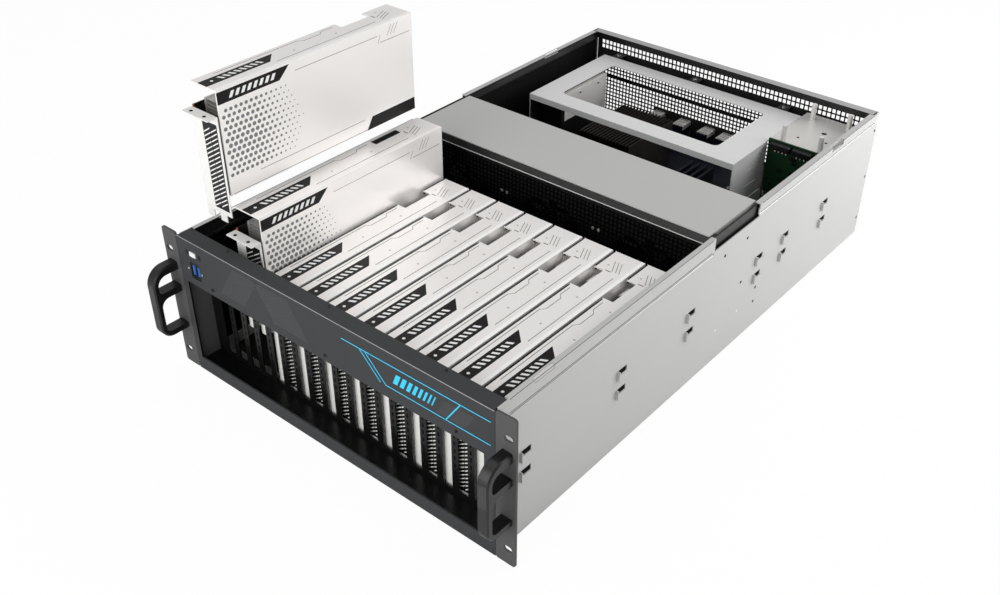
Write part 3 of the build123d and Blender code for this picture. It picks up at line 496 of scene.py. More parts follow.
    def screw(self, name: str, base: Point, radius: float, facing: Facing) -> Piece:
        """Models a low screw head with a sunk socket.

        Args:
            name: The piece's name.
            base: The middle of its base.
            radius: Its radius.
            facing: The way that it faces.

        Returns:
            The piece.
        """
        piece = self.rod(name, (0, -self.ear_front, 0), radius, radius * 0.55, sides=16)
        self.pick(piece, (Z, True))
        bpy.ops.mesh.inset(thickness=radius * 0.12 * MM)
        bpy.ops.transform.translate(value=(0, 0, radius * 0.14 * MM))
        bpy.ops.mesh.inset(thickness=radius * 0.42 * MM)
        bpy.ops.mesh.inset(thickness=radius * 0.06 * MM)
        bpy.ops.transform.translate(value=(0, 0, -radius * 0.45 * MM))
        bpy.ops.object.mode_set(mode="OBJECT")
        piece.rotation_euler = facing.turn()
        piece.location = self.point(*base)
        return self.settle(piece, name)

    def perforated(
        self, name: str, x: Span, depth: float, z: Span, pitch: Span, web: float, thickness: float
    ) -> Piece:
        """Models an upright sheet full of square holes.

        Args:
            name: The piece's name.
            x: Its span across.
            depth: Where its middle lies.
            z: Its span in height.
            pitch: The distance between holes, across and upward.
            web: The width of metal left between holes.
            thickness: The sheet's thickness.

        Returns:
            The piece.
        """
        self.deselect()
        bpy.ops.mesh.primitive_grid_add(
            x_subdivisions=max(round((x[1] - x[0]) / pitch[0]), 1),
            y_subdivisions=max(round((z[1] - z[0]) / pitch[1]), 1),
            size=1,
            location=self.point(sum(x) / 2, depth, sum(z) / 2),
            rotation=Facing.FRONT.turn(),
        )
        piece = bpy.context.object
        piece.scale = ((x[1] - x[0]) * MM, (z[1] - z[0]) * MM, 1)
        self.settle(piece, name)
        bpy.ops.object.mode_set(mode="EDIT")
        bpy.ops.mesh.select_mode(type="FACE")
        bpy.ops.mesh.select_all(action="SELECT")
        bpy.ops.mesh.inset(thickness=web / 2 * MM, use_individual=True)
        bpy.ops.mesh.delete(type="FACE")
        bpy.ops.object.mode_set(mode="OBJECT")
        self.apply(piece, "SOLIDIFY", thickness=thickness * MM, offset=0.0)
        return piece

    def traced(self, points: Sequence[Span], width: float, z: Span) -> list[Piece]:
        """Models a level line as one short block for each step between points.

        Args:
            points: The places that the line runs through, across and in depth.
            width: The line's width.
            z: Its span in height.

        Returns:
            The blocks.
        """
        steps = []
        for start, end in zip(points, points[1:]):
            near, far = sorted((start, end), key=lambda place: place[1])
            across = (near[0] - width / 2, near[0] + width / 2)
            lean = far[0] - near[0]
            steps.append(self.leaning("line", across, (near[1], far[1]), z, Y, X, lean))
        return steps

    def repeat(self, piece: Piece, shifts: Sequence[Point], name: str) -> Piece:
        """Copies a piece to each shift from its place, and joins the copies.

        Args:
            piece: The piece, which is used up.
            shifts: The shifts.
            name: The name that the whole gets.

        Returns:
            The whole.
        """
        twins = []
        for shift in shifts:
            twin = piece.copy()
            twin.data = piece.data.copy()
            twin.location = Vector(shift) * MM
            bpy.context.scene.collection.objects.link(twin)
            twins.append(twin)
        bpy.data.objects.remove(piece)
        return self.join(twins, name)

    def join(self, pieces: Sequence[Piece], name: str) -> Piece:
        """Joins pieces into one.

        Args:
            pieces: The pieces.
            name: The name that the whole gets.

        Returns:
            The whole.
        """
        self.deselect()
        for piece in pieces:
            piece.select_set(True)
        bpy.context.view_layer.objects.active = pieces[0]
        if len(pieces) > 1:
            bpy.ops.object.join()
        return self.settle(bpy.context.view_layer.objects.active, name)


@dataclass
class SubAssembly(Bench):
    """A group of pieces that ride on one body."""

    body: str = CHASSIS

    def dress(self, node: str, finish: Finish) -> None:
        """Gives a solid of the frame its finish.

        Args:
            node: The solid's name.
            finish: What it is dressed in.
        """
        mesh = bpy.data.objects[node].data
        mesh.materials.clear()
        mesh.materials.append(finish.material())

    def add(self, piece: Piece, finish: Finish, slot: str | None = None) -> Piece:
        """Gives a new piece its finish and its body, and reports it.

        Args:
            piece: The piece, settled.
            finish: What it is dressed in.
            slot: Not used.

        Returns:
            The piece.
        """
        piece.data.materials.clear()
        piece.data.materials.append(finish.material())
        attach(piece, self.body)
        LOG.info("%s rides on %s", piece.name, self.body)
        return piece

    def add_row(self, piece: Piece, shifts: Sequence[Point], name: str, finish: Finish) -> None:
        """Repeats a piece by each shift and adds the joined copies."""
        self.add(self.repeat(piece, shifts, name), finish)

    def add_joined(self, pieces: Sequence[Piece], name: str, finish: Finish) -> None:
        """Joins pieces and adds the result."""
        self.add(self.join(pieces, name), finish)

    def build(self) -> None:
        """Builds and dresses the sub-assembly."""
        raise NotImplementedError


@dataclass
class FrontBezel(SubAssembly):
    """The dark front plate with its printed lines, screws, button marks and ports."""

    face: Span = (-0.12, 0.02)
    lines: Span = (134.0, 160.5)
    line_width: float = 0.9
    links: tuple[Span, ...] = ((79.0, -26.0), (86.0, -26.0), (160.0, 18.0))
    bar_start: float = 96.0
    bar_gap: float = 3.0
    bar_widths: tuple[float, ...] = (5.6, 5.0, 4.4, 3.8, 3.2, 2.6, 2.0, 1.4)
    bar_span: Span = (141.5, 153.5)
    hatch_face: Span = (-0.06, 0.02)
    hatch_pitch: float = 2.3
    hatch_panels: tuple[tuple[float, float, float, int, float], ...] = (
        (-152.0, 131.0, 38.0, 17, 1.5),
        (-70.0, 131.0, 50.0, 17, -1.5),
        (150.0, 137.5, 34.0, 8, 1.5),
    )
    tongues: Span = (-195.4, -187.6)

    def build(self) -> None:
        """Builds and dresses the bezel."""
        self.dress("front_bezel", BEZEL_PAINT)
        self.dress("power_button", WHITE_CAP)
        self.dress("front_ports", SCREW_DARK)
        self.blue_print()
        self.hatching()
        self.fasteners()
        self.ports()

    def blue_print(self) -> None:
        """Adds the two blue lines, the links between them and the row of narrowing bars."""
        half = self.line_width / 2
        lines = [
            self.block("line", (left, 213), self.face, (height - half, height + half))
            for left, height in zip((86, 30), self.lines)
        ]
        for left, lean in self.links:
            lines.append(
                self.leaning("link", (left, left + 1.4), self.face, self.lines, Z, X, lean)
            )
        self.add_joined(lines, "bezel_blue_lines", BLUE_INK_WITH_PAINTED_GLOW)
        bars = []
        left = self.bar_start
        for width in self.bar_widths:
            across = (left, left + width)
            bars.append(self.leaning("bar", across, self.face, self.bar_span, Z, X, 5.0))
            left += width + self.bar_gap
        self.add_joined(bars, "bezel_blue_bars", BLUE_INK_WITH_PAINTED_GLOW)

    def hatching(self) -> None:
        """Adds leaning panels of hairlines in a tone near the paint's own."""
        for number, (left, low, wide, rows, lean) in enumerate(self.hatch_panels, 1):
            first = self.block("hatch", (left, left + wide), self.hatch_face, (low, low + 0.5))
            shifts = [(lean * row, 0, self.hatch_pitch * row) for row in range(rows)]
            self.add_row(first, shifts, f"bezel_hatching_{number}", HATCH_INK)

    def fasteners(self) -> None:
        """Adds the screws on the face and on the folded top, and a pale strip of painted highlight
        along the edge between.
        """
        first = self.screw("screw", (0, 0.1, 127.0), 1.7, Facing.FRONT)
        shifts = [(x, 0, 0) for x in (-166.5, 4.0, 172.7)]
        self.add_row(first, shifts, "bezel_face_screws", SCREW_DARK)
        top = self.box("front_bezel").z[1]
        first = self.screw("screw", (0, 14.5, top - 0.6), 1.8, Facing.UP)
        shifts = [(x, 0, 0) for x in (-150, 0, 150)]
        self.add_row(first, shifts, "bezel_top_screws", SCREW_DARK)
        # A pale strip paints the highlight where the face meets the folded top.
        edge = self.block("bezel_top_edge_highlight", (-217, 217), (-0.15, 0.6), (174.3, 175.05), 0.2)
        self.add(edge, BEZEL_EDGE_HIGHLIGHT)

    def ports(self) -> None:
        """Adds the blue tongues, the small screws and the marks beside the button."""
        tongues = [
            self.block("tongue", (x - 1.9, x + 1.9), (0.6, 9.2), (133.6, 145.4), 0.3)
            for x in self.tongues
        ]
        self.add_joined(tongues, "port_tongues", PORT_BLUE)
        button = self.box("power_button")
        span = (button.z[0] + 1, button.z[1] - 1)
        marks = [
            self.block("mark", (left, left + 4.5), self.face, span)
            for left in (button.x[0] - 7, button.x[1] + 2.5)
        ]
        self.add_joined(marks, "button_marks", GLOSS_BLACK)
        ports = self.box("front_ports")
        first = self.screw("screw", (0, -0.2, sum(ports.z) / 2), 1.4, Facing.FRONT)
        shifts = [(ports.x[0] - 1.2, 0, -6), (ports.x[1] + 1.2, 0, -6)]
        self.add_row(first, shifts, "port_screws", SCREW_BRIGHT)


@dataclass
class EarsAndHandles(SubAssembly):
    """The slotted rack ears with their handles."""

    ridge_count: int = 18
    ridge_height: float = 0.7
    ridge_pitch: float = 1.5

    def build(self) -> None:
        """Builds and dresses the ears and handles."""
        for side in SIDES:
            self.dress(f"rack_ear_{side}", EAR_PAINT)
            self.dress(f"handle_{side}", BLACK_GRIP)
            self.ridges(side)
            self.bolts(side)

    def ridges(self, side: str) -> None:
        """Adds the pale hairlines of the knurling on the upper part of a grip.

        Args:
            side: The side, left or right.
        """
        grip = self.box(f"handle_{side}")
        skin = (grip.y[0] - 0.03, grip.y[0] + 0.3)
        across = (grip.x[0] + 1.6, grip.x[1] - 1.6)
        first = self.leaning("ridge", across, skin, (0, self.ridge_height), X, Z, 2.4)
        top = grip.z[1] - 19
        shifts = [(0, 0, top - self.ridge_pitch * index) for index in range(self.ridge_count)]
        self.add_row(first, shifts, f"handle_{side}_ridges", RIDGE_AND_GROOVE_SHADE_GREY)

    def bolts(self, side: str) -> None:
        """Adds the heads of the bolts that hold a handle, behind its ear.

        Args:
            side: The side, left or right.
        """
        grip = self.box(f"handle_{side}")
        first = self.screw("bolt", (sum(grip.x) / 2, 2.4, 0), 3.2, Facing.BACK)
        shifts = [(0, 0, grip.z[0] + 4), (0, 0, grip.z[1] - 5)]
        self.add_row(first, shifts, f"handle_{side}_bolts", SCREW_DARK)


@dataclass
class SidePanels(SubAssembly):
    """The two side walls, with small round holes, lines of painted shade on the rails and a dark
    sheet of painted shade inside.
    """

    outer: float = 217.0
    front_rail: Span = (20.0, 350.0)
    rear_rail: Span = (452.0, 738.0)
    holes: tuple[Span, ...] = (
        (427.0, 141.6),
        (379.6, 141.6),
        (426.0, 84.0),
        (465.0, 56.6),
        (464.6, 37.2),
        (740.5, 151.0),
        (740.0, 86.0),
        (740.0, 25.0),
    )
    rivets: tuple[Span, ...] = ((425.9, 44.2), (379.9, 42.9))

    def build(self) -> None:
        """Builds and dresses both walls."""
        for side, way in SIDES.items():
            self.dress(f"side_panel_{side}", WALL_ZINC)
            self.spots(side, way)
            self.rail_shade_lines(side, way)
            self.inner_shade_sheet(side, way)

    def skin(self, way: float, inner: float, outer: float) -> Span:
        """Returns the span across between two distances out from a wall's face."""
        low, high = sorted((way * (self.outer + inner), way * (self.outer + outer)))
        return low, high

    def spots(self, side: str, way: float) -> None:
        """Adds the small round holes and two white rivets.

        Args:
            side: The side, left or right.
            way: The sign of that side's places across.
        """
        facing = Facing.RIGHT if way > 0 else Facing.LEFT
        base = (way * (self.outer - 0.2), 0, 0)
        for kind, radius, length, places, finish in (
            ("holes", 1.9, 0.28, self.holes, HOLE_BLACK_AND_PAINTED_SHADE),
            ("rivets", 1.7, 0.35, self.rivets, WHITE_CAP),
        ):
            first = self.rod("spot", base, radius, length, facing, 16)
            shifts = [(0, depth, height) for depth, height in places]
            self.add_row(first, shifts, f"side_panel_{side}_{kind}", finish)

    def rail_shade_lines(self, side: str, way: float) -> None:
        """Adds thin lines of painted shade along the grooves and the edges of the rails.

        Args:
            side: The side, left or right.
            way: The sign of that side's places across.
        """
        groove, face = self.skin(way, -1.1, -0.95), self.skin(way, -0.1, 0.04)
        lines = [
            self.block("line", skin, depth, (low, low + height))
            for skin, depth, low, height in (
                (groove, (12, 350), 155.6, 0.6),
                (groove, self.rear_rail, 162.1, 0.7),
                (groove, self.rear_rail, 167.8, 0.6),
                (face, self.front_rail, 158.9, 0.8),
                (face, self.front_rail, 174.1, 0.8),
                (face, self.rear_rail, 174.1, 0.8),
            )
        ]
        self.add_joined(lines, f"side_panel_{side}_groove_shade_lines", RIDGE_AND_GROOVE_SHADE_GREY)

    def inner_shade_sheet(self, side: str, way: float) -> None:
        """Adds a dark sheet of painted shade over the inner face of a wall.

        Args:
            side: The side, left or right.
            way: The sign of that side's places across.
        """
        skin = self.skin(way, -1.5, -1.25)
        # A dark sheet inside the wall paints the shade that falls in the chassis.
        inner_shade_sheet = [
            self.block("inner_shade_sheet", skin, depth, (21, top))
            for depth, top in (((30.6, 352), 154), ((449, 740), 160))
        ]
        self.add_joined(inner_shade_sheet, f"side_panel_{side}_lining", HOLE_BLACK_AND_PAINTED_SHADE)


@dataclass
class BracketWall(SubAssembly):
    """The slotted wall behind the window, with small slots up its webs."""

    first_web: float = 185.84
    web_pitch: float = 20.32
    web_count: int = 19
    slot_rows: int = 11
    slot_pitch: float = 9.2

    def build(self) -> None:
        """Builds and dresses the wall."""
        self.dress("bracket_wall", GLOSS_BLACK)
        face = self.box("bracket_wall").y[1] - 1.2
        first = self.block("slot", (-1.1, 1.1), (face - 0.12, face + 0.2), (20, 25))
        shifts = [
            (self.first_web - self.web_pitch * column, 0, self.slot_pitch * row)
            for column in range(self.web_count)
            for row in range(self.slot_rows)
        ]
        self.add_row(first, shifts, "bracket_wall_slots", HOLE_BLACK_AND_PAINTED_SHADE)


@dataclass
class Card(SubAssembly):
    """One double-width card: shroud, board, heat sink, power socket and bracket."""

    number: int = 1
    seated: bool = True
    ink: float = 0.03
    dot_columns: int = 17
    dot_rows: int = 12
    dot_pitch: float = 6.3
    dot_radius: float = 2.5
    fin_count: int = 22
    fin_thickness: float = 0.6
    contact_count: int = 51
    contact_pitch: float = 1.6
    vent_rows: int = 18
    vent_pitch: float = 4.9
    tick_count: int = 8
    shroud: Box = field(init=False)
    board: Box = field(init=False)
    plate: Box = field(init=False)

    def named(self, piece: str) -> str:
        """Returns the full name of one of the card's pieces."""
        return f"card_{self.number:02d}_{piece}"

    def build(self) -> None:
        """Builds and dresses the card."""
        self.shroud = self.box(self.named("shroud"))
        self.board = self.box(self.named("board"))
        self.plate = self.box(self.named("bracket"))
        self.dress(self.named("shroud"), CARD_SILVER)
        self.dress(self.named("bracket"), NICKEL)
        self.circuit()
        self.vents()
        self.flange_print()
        self.flange_lines()
        self.side_print()
        self.side_dots()
        self.fasteners()

    def circuit(self) -> None:
        """Builds the board, its contacts, the heat sink and the power socket."""
        left, top = self.board.x[0], self.shroud.z[1] - 24.0
        right = left + 1.6
        (front, back), base = self.board.y, self.board.z[0]
        board = self.block(
            self.named("circuit"), (left, right), (front, back), (base + 9.5, top), 0.2
        )
        self.add(board, BOARD_BLACK)
        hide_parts(self.named("board"))
        skin, height = (left - 0.05, right + 0.05), (base + 12, top + 0.05)
        edge = self.block(self.named("copper_edge"), skin, (front - 0.02, front + 1.2), height)
        self.add(edge, COPPER)
        start = self.shroud.y[0] + 42
        tab = self.block(
            self.named("edge_tab"), (left, right), (start, start + 84), (base, base + 10)
        )
        self.add(tab, BOARD_BLACK)
        skin, height = (left - 0.06, right + 0.06), (base + 0.5, base + 7)
        contact = self.block("contact", skin, (start + 1, start + 1.8), height)
        shifts = [(0, self.contact_pitch * index, 0) for index in range(self.contact_count)]
        self.add_row(contact, shifts, self.named("contacts"), GOLD)
        self.heat_sink(right, top)
        self.power_socket(right)

    def heat_sink(self, left: float, top: float) -> None:
        """Builds the fin stack beside the board.

        Args:
            left: Where the board's face lies.
            top: The height of the board's upper edge.
        """
        span = (46.0, 290.0)
        low, high = top - 88.5, top + 2.6
        base = self.block("base", (left, left + 3.5), span, (low, high))
        across = (left + 3, self.shroud.x[1] - 1.8)
        fin = self.block("fin", across, span, (low, low + self.fin_thickness))
        pitch = (high - low - self.fin_thickness) / (self.fin_count - 1)
        shifts = [(0, 0, pitch * index) for index in range(self.fin_count)]
        fins = self.repeat(fin, shifts, "fins")
        self.add_joined([fins, base], self.named("fins"), FIN_METAL)

    def power_socket(self, left: float) -> None:
        """Builds the power socket low in the flange's notch, with a slanted metal guide.

        Args:
            left: Where the board's face lies.
        """
        front = self.shroud.y[0] + 189
        top = self.shroud.z[1] - 12
        right = self.shroud.x[0] + 11.5
        body = self.block("body", (left, right), (front, front + 39), (top - 9.4, top - 2), 0.3)
        walls = [
            self.block("wall", (left, right), (y, y + 1), (top - 3, top))
            for y in (front + 4.75 * step for step in range(9))
        ]
        # The socket's dark brown partly paints the shade in the notch.
        self.add_joined([body, *walls], self.named("power_socket"), SOCKET_BROWN_AND_SHADE)
        depth, height = (front + 24, front + 39.5), (top + 0.5, top + 1.5)
        guide = self.leaning(
            self.named("socket_guide"), (left, right + 1), depth, height, X, Z, 7.5
        )
        self.add(guide, CARD_SILVER)

    def vents(self) -> None:
        """Adds the black field of the bracket's vents, a black sheet of painted shade behind them
        and the bright ribs across it.
        """
        right, back = self.plate.x[1], self.plate.y[1]
        front, low = back - 1.0, self.plate.z[0] + 18.0
        # The backing is a black sheet behind the vents that paints the shade inside the card.
        for name, across, depth, height in (
            ("shade_backing", (19.5, 3), (back + 0.1, back + 0.5), (low - 6, self.plate.z[1] - 4)),
            ("field", (25, 2.5), (front - 0.12, front + 0.05), (low - 4, low + 94)),
        ):
            span = (right - across[0], right - across[1])
            self.add(self.block(self.named(f"vent_{name}"), span, depth, height), SOCKET_BLACK)
        ribs = []
        for column, left in enumerate((right - 24.2, right - 13.4)):
            span = (left, left + 9.8)
            first = self.leaning("rib", span, (front - 0.3, front), (low, low + 1.4), X, Z, 6.4)
            shifts = [
                (0, 0, self.vent_pitch * step + 2.0 * column - 3) for step in range(self.vent_rows)
            ]
            ribs.append(self.repeat(first, shifts, "ribs"))
        self.add_joined(ribs, self.named("vent_ribs"), NICKEL)

    def flange_print(self) -> None:
        """Adds the black band with its pale ticks, a paler strip of painted highlight on the
        shroud's rounded edge and dark strips of painted shade in the gaps between cards.
        """
        (left, right), (front, back), top = self.shroud.x, self.shroud.y, self.shroud.z[1]
        ink = (top - 0.05, top + self.ink)
        band = self.block(
            self.named("flange_band"), (right - 28, right - 13.7), (front + 0.2, front + 93), ink
        )
        self.add(self.draw(band, Y, -14, (Y, True), (X, True)), CARD_INK)
        over = (top, top + self.ink + 0.01)
        across, depth = (right - 24.4, right - 17.6), (front + 20, front + 23.2)
        tick = self.leaning("tick", across, depth, over, X, Y, 3.4)
        shifts = [(0, 6.8 * index, 0) for index in range(self.tick_count)]
        ticks = self.repeat(tick, shifts, "ticks")
        place = (right - 21, front + 12, top)
        dot = self.rod("dot", place, 1.7, self.ink + 0.01, Facing.UP, 12)
        self.add_joined([ticks, dot], self.named("flange_ticks"), CARD_WHITE_INK)
        # A paler strip along the shroud's rounded edge paints the highlight there.
        fold = self.block(self.named("fold"), (right - 4.4, right), (front, back), ink)
        self.add(fold, CARD_FOLD_HIGHLIGHT)
        # On seated cards, dark strips at the left edge paint the shade in the gap beside the next
        # card.
        if self.seated:
            strips = [
                self.block("strip", (left - 0.15, left + 1.3), depth, (top - 4.5, ink[1]))
                for depth in ((front + 0.5, front + 186), (front + 230, back - 0.5))
            ]
            self.add_joined(strips, self.named("gap_shade_strips"), HOLE_BLACK_AND_PAINTED_SHADE)

    def flange_lines(self) -> None:
        """Adds the fine lines engraved in the top flange, and the slit beside the notch."""
        right, front, top = self.shroud.x[1], self.shroud.y[0], self.shroud.z[1]
        ink = (top - 0.05, top + self.ink)
        inner = ((9.6, 84), (9.6, 222))
        outer = ((33.4, 24), (33.4, 132), (29.0, 137), (29.0, 160), (33.4, 165), (33.4, 181))
        runs = [(inner, 0.85), (outer, 0.85)]
        runs += [(((near, 232), (near + 8, 250)), 0.8) for near in (9.6, 13.6, 18.0)]
        lines = []
        for run, width in runs:
            places = [(right - across, front + depth) for across, depth in run]
            lines += self.traced(places, width, ink)
        self.add_joined(lines, self.named("flange_lines"), CARD_LINE)
        across, depth = (right - 25, right - 18.5), (front + 229.6, front + 230.7)
        self.add(self.block(self.named("flange_slit"), across, depth, ink), CARD_INK)

    def side_print(self) -> None:
        """Adds the black bars with their pale ticks and the fine lines."""
        face, front = self.shroud.x[1], self.shroud.y[0]
        low, top = self.shroud.z
        skin = (face - 0.05, face + self.ink)
        upper = self.block("bar", skin, (front + 0.2, front + 77), (top - 15.4, top - 2.6))
        lower = self.block("bar", skin, (front + 190, front + 266), (low + 0.3, low + 14.5))
        bars = [
            self.draw(upper, Y, 14, (Z, True), (Y, True)),
            self.draw(lower, Y, 9, (Z, True), (Y, False)),
        ]
        self.add_joined(bars, self.named("side_bars"), CARD_INK)
        over, height = (face, face + self.ink + 0.02), (top - 12.2, top - 5.8)
        tick = self.leaning("tick", over, (front + 14, front + 18), height, Z, Y, 3.4)
        shifts = [(0, 7.4 * index, 0) for index in range(self.tick_count)]
        self.add_row(tick, shifts, self.named("side_ticks"), CARD_WHITE_INK)
        lines = []
        for near, far, height in (
            (98, 214, top - 12),
            (218, 262, top - 20),
            (4, 190, low + 1),
            (40, 188, low + 14),
        ):
            depth = (front + near, front + far)
            lines.append(self.block("line", skin, depth, (height, height + 0.65)))
        for near, wide, height, lean in (
            (214, 0.6, (top - 20, top - 11.5), 4.0),
            (228, 0.7, (top - 15, top - 4), 7.0),
            (233, 0.7, (top - 15, top - 4), 7.0),
            (238, 0.7, (top - 15, top - 4), 7.0),
        ):
            depth = (front + near, front + near + wide)
            lines.append(self.leaning("line", skin, depth, height, Z, Y, lean))
        self.add_joined(lines, self.named("side_lines"), CARD_LINE)

    def side_dots(self) -> None:
        """Adds the field of round dots that fades towards the rear."""
        front, low = self.shroud.y[0], self.shroud.z[0]
        base = (self.shroud.x[1] - 0.05, -self.ear_front, 0)
        dot = self.rod("dot", base, 1.0, self.ink + 0.05, Facing.RIGHT, 8)
        dots = []
        for column in range(self.dot_columns):
            for row in range(self.dot_rows):
                fade = 1 - max(column - 6, 0) / 12 - abs(row - 5) * 0.03
                radius = self.dot_radius * fade
                if radius < 0.6:
                    continue
                twin = dot.copy()
                twin.data = dot.data.copy()
                twin.scale = (1, radius, radius)
                depth = front + 5 + self.dot_pitch * (column + 0.5 * (row % 2))
                twin.location = self.point(0, depth, low + 22 + self.dot_pitch * row)
                bpy.context.scene.collection.objects.link(twin)
                dots.append(twin)
        bpy.data.objects.remove(dot)
        self.add_joined(dots, self.named("side_dots"), CARD_GREY_INK)

    def fasteners(self) -> None:
        """Adds the flush fixings of the flange and the screws or holes of the bracket's tab."""
        right, front, top = self.shroud.x[1], self.shroud.y[0], self.shroud.z[1]
        base = (right - 18, front, top - 0.05)
        first = self.rod("stud", base, 1.3, self.ink + 0.05, Facing.UP, 12)
        shifts = [(0, 114, 0), (0, 172, 0), (-10, 240, 0)]
        self.add_row(first, shifts, self.named("flange_studs"), FIN_METAL)
        tab = self.plate
        depth, height = tab.y[0] + 5.2, tab.z[1]
        shifts = [(tab.x[0] + 8, 0, 0), (tab.x[0] + 28.3, 0, 0)]
        if self.seated:
            first = self.screw("screw", (0, depth, height - 0.05), 2.6, Facing.UP)
            self.add_row(first, shifts, self.named("tab_screws"), SCREW_BRIGHT)
        else:
            first = self.rod("hole", (0, depth, height - 0.1), 2.0, 0.15, Facing.UP, 14)
            self.add_row(first, shifts, self.named("tab_holes"), HOLE_BLACK_AND_PAINTED_SHADE)


@dataclass
class CardSockets(SubAssembly):
    """The switch board under the cards and the floor that it stands on."""

    def build(self) -> None:
        """Dresses the floor and the board, and adds the board's chips."""
        self.dress("base_pan", ZINC)
        self.dress("backplane", BOARD_BLACK)
        low = self.box("backplane").z[0]
        chip = self.block("chip", (-12, 12), (190, 214), (low + 2.4, low + 6), 0.4)
        shifts = [(x, y, 0) for x in (-140, -58, 24, 106, 165) for y in (0, 70)]
        self.add_row(chip, shifts, "switch_chips", CHIP_BLACK_AND_PAINTED_SHADE)


@dataclass
class FanWall(SubAssembly):
    """The perforated wall with three fans behind it and a cover over them."""

    pitch: Span = (5.6, 5.6)
    web: float = 1.7
    lip_height: float = 8.2
    lip_lean: float = 2.0

    def build(self) -> None:
        """Builds and dresses the wall, the fans and the cover."""
        self.dress("fan_wall", SCREW_DARK)
        self.dress("fan_frames", FAN_BLACK)
        self.dress("fan_cover", COVER_PAINT)
        for number in (1, 2, 3):
            self.dress(f"fan_rotor_{number}", FAN_BLACK)
        wall = self.box("fan_wall")
        front = wall.y[0] + 2.5
        screen = self.perforated(
            "fan_screen", (-206, 206), front - 0.4, (14, 158), self.pitch, self.web, 0.6
        )
        self.add(screen, MESH_BLACK)
        first = self.screw("screw", (0, front - 0.6, 0), 2.2, Facing.FRONT)
        shifts = [
            (x + side, 0, height)
            for x in (-67, 67, -201, 201)
            for side in (-4, 4)
            for height in (40, 128)
        ]
        self.add_row(first, shifts, "fan_screen_screws", SCREW_BRIGHT)
        self.lip(wall)

    def lip(self, wall: Box) -> None:
        """Adds dark grey painted shade on the folded top of the wall and a line of painted
        highlight under it.

        Args:
            wall: The wall's spans.
        """
        across, face = (wall.x[0] + 0.5, wall.x[1] - 0.5), wall.y[0]
        low = wall.z[1] - self.lip_height
        skin, height = (face - 0.12, face + 0.2), (low, wall.z[1])
        # Dark grey paints the shade and dark reflection on the lip under the cover.
        paint = self.leaning("fan_wall_lip_shade", across, skin, height, Z, Y, self.lip_lean)
        self.add(paint, LIP_SHADE_GREY)
        # A pale line paints the highlight along the lip's lower edge.
        skin, height = (face - 0.25, face + 0.3), (low - 0.6, low + 0.5)
        self.add(self.block("fan_wall_highlight_line", across, skin, height, 0.15), LIP_HIGHLIGHT)


@dataclass
class MainBoard(SubAssembly):
    """The main board on its bay, with its cooler, ports, memory and power box."""

    seed: int = 7
    chip_count: int = 70
    chip_sizes: tuple[Span, ...] = ((3, 2), (5, 5), (8, 6), (12, 12), (3, 6))
    chip_heights: tuple[float, ...] = (0.8, 1.2, 2.5)
    port_centres: tuple[float, ...] = (-99.0, -56.0, -16.0, 14.0)

    def build(self) -> None:
        """Builds and dresses the board and what stands on it."""
        self.dress("supply_bay", BLACK_STEEL)
        self.dress("main_board", NAVY_BOARD)
        self.dress("cooler", DARK_FIN)
        self.dress("power_box", BARE_STEEL)
        top = self.box("main_board").z[0] + 1.6
        self.chips(top)
        self.port_caps(top + 25)
        self.power_box()

    def chips(self, top: float) -> None:
        """Adds the small parts soldered to the board.

        Args:
            top: The height of the board's upper face.
        """
        rng = random.Random(self.seed)
        small = []
        for _ in range(self.chip_count):
            x, y = rng.uniform(-140, 108), rng.uniform(472, 560)
            wide, deep = rng.choice(self.chip_sizes)
            height = (top - 0.1, top + rng.choice(self.chip_heights))
            small.append(self.block("chip", (x, x + wide), (y, y + deep), height))
        self.add_joined(small, "board_chips", CHIP_BLACK_AND_PAINTED_SHADE)
        can = self.rod("can", (0, 0, top - 0.2), 3.4, 9, Facing.UP, 16, 0.4)
        shifts = [(x, y, 0) for x in (-128, -118) for y in (580, 592, 604, 616, 628)]
        shifts += [(78 + 10 * index, 640, 0) for index in range(3)]
        self.add_row(can, shifts, "board_capacitors", SCREW_BRIGHT)

    def port_caps(self, top: float) -> None:
        """Adds the ribbed metal shells on top of the rear ports.

        Args:
            top: The height of the ports' upper faces.
        """
        shells = []
        for x in self.port_centres:
            span = (x - 8.6, x + 8.6)
            shells.append(self.block("shell", span, (722, 744), (top - 6, top + 0.5), 0.3))
            for left in (x - 7 + 4 * index for index in range(4)):
                span = (left, left + 1.6)
                shells.append(self.block("rib", span, (721, 744), (top, top + 1.4), 0.2))
        self.add_joined(shells, "port_shells", BARE_STEEL)

    def power_box(self) -> None:
        """Adds a black cover of painted shade on the front of the power box and two screws behind
        it.
        """
        box = self.box("power_box")
        across, front, low = (box.x[0] - 0.3, box.x[1] + 0.3), box.y[0], box.z[0]
        # The front of the power box lies in shade under the bridge; this black cover paints that
        # shade.
        front_shade = [
            self.block("front_shade", across, (front - 0.3, front + 8), (low, box.z[1] + 0.3)),
            self.block("front_shade", across, (front + 8, front + 80), (low, low + 62)),
        ]
        self.add_joined(front_shade, "power_box_front_shade", CHIP_BLACK_AND_PAINTED_SHADE)
        first = self.screw("screw", (box.x[1] - 0.05, 0, box.z[1] - 6), 1.8, Facing.RIGHT)
        shifts = [(0, front + 42, 0), (0, box.y[1] - 20, 0)]
        self.add_row(first, shifts, "power_box_screws", SCREW_BRIGHT)


@dataclass
class Bridge(SubAssembly):
    """The painted bridge over the main board."""

    def build(self) -> None:
        """Dresses the bridge and adds its screws."""
        self.dress("bridge", BRIDGE_PAINT)
        plate = self.box("bridge")
        base = (0, plate.y[1] + 12, plate.z[1] - 2.2)
        first = self.screw("screw", base, 2.4, Facing.UP)
        shifts = [(x, 0, 0) for x in (-170, -42, 94)]
        self.add_row(first, shifts, "bridge_tab_screws", SCREW_BRIGHT)


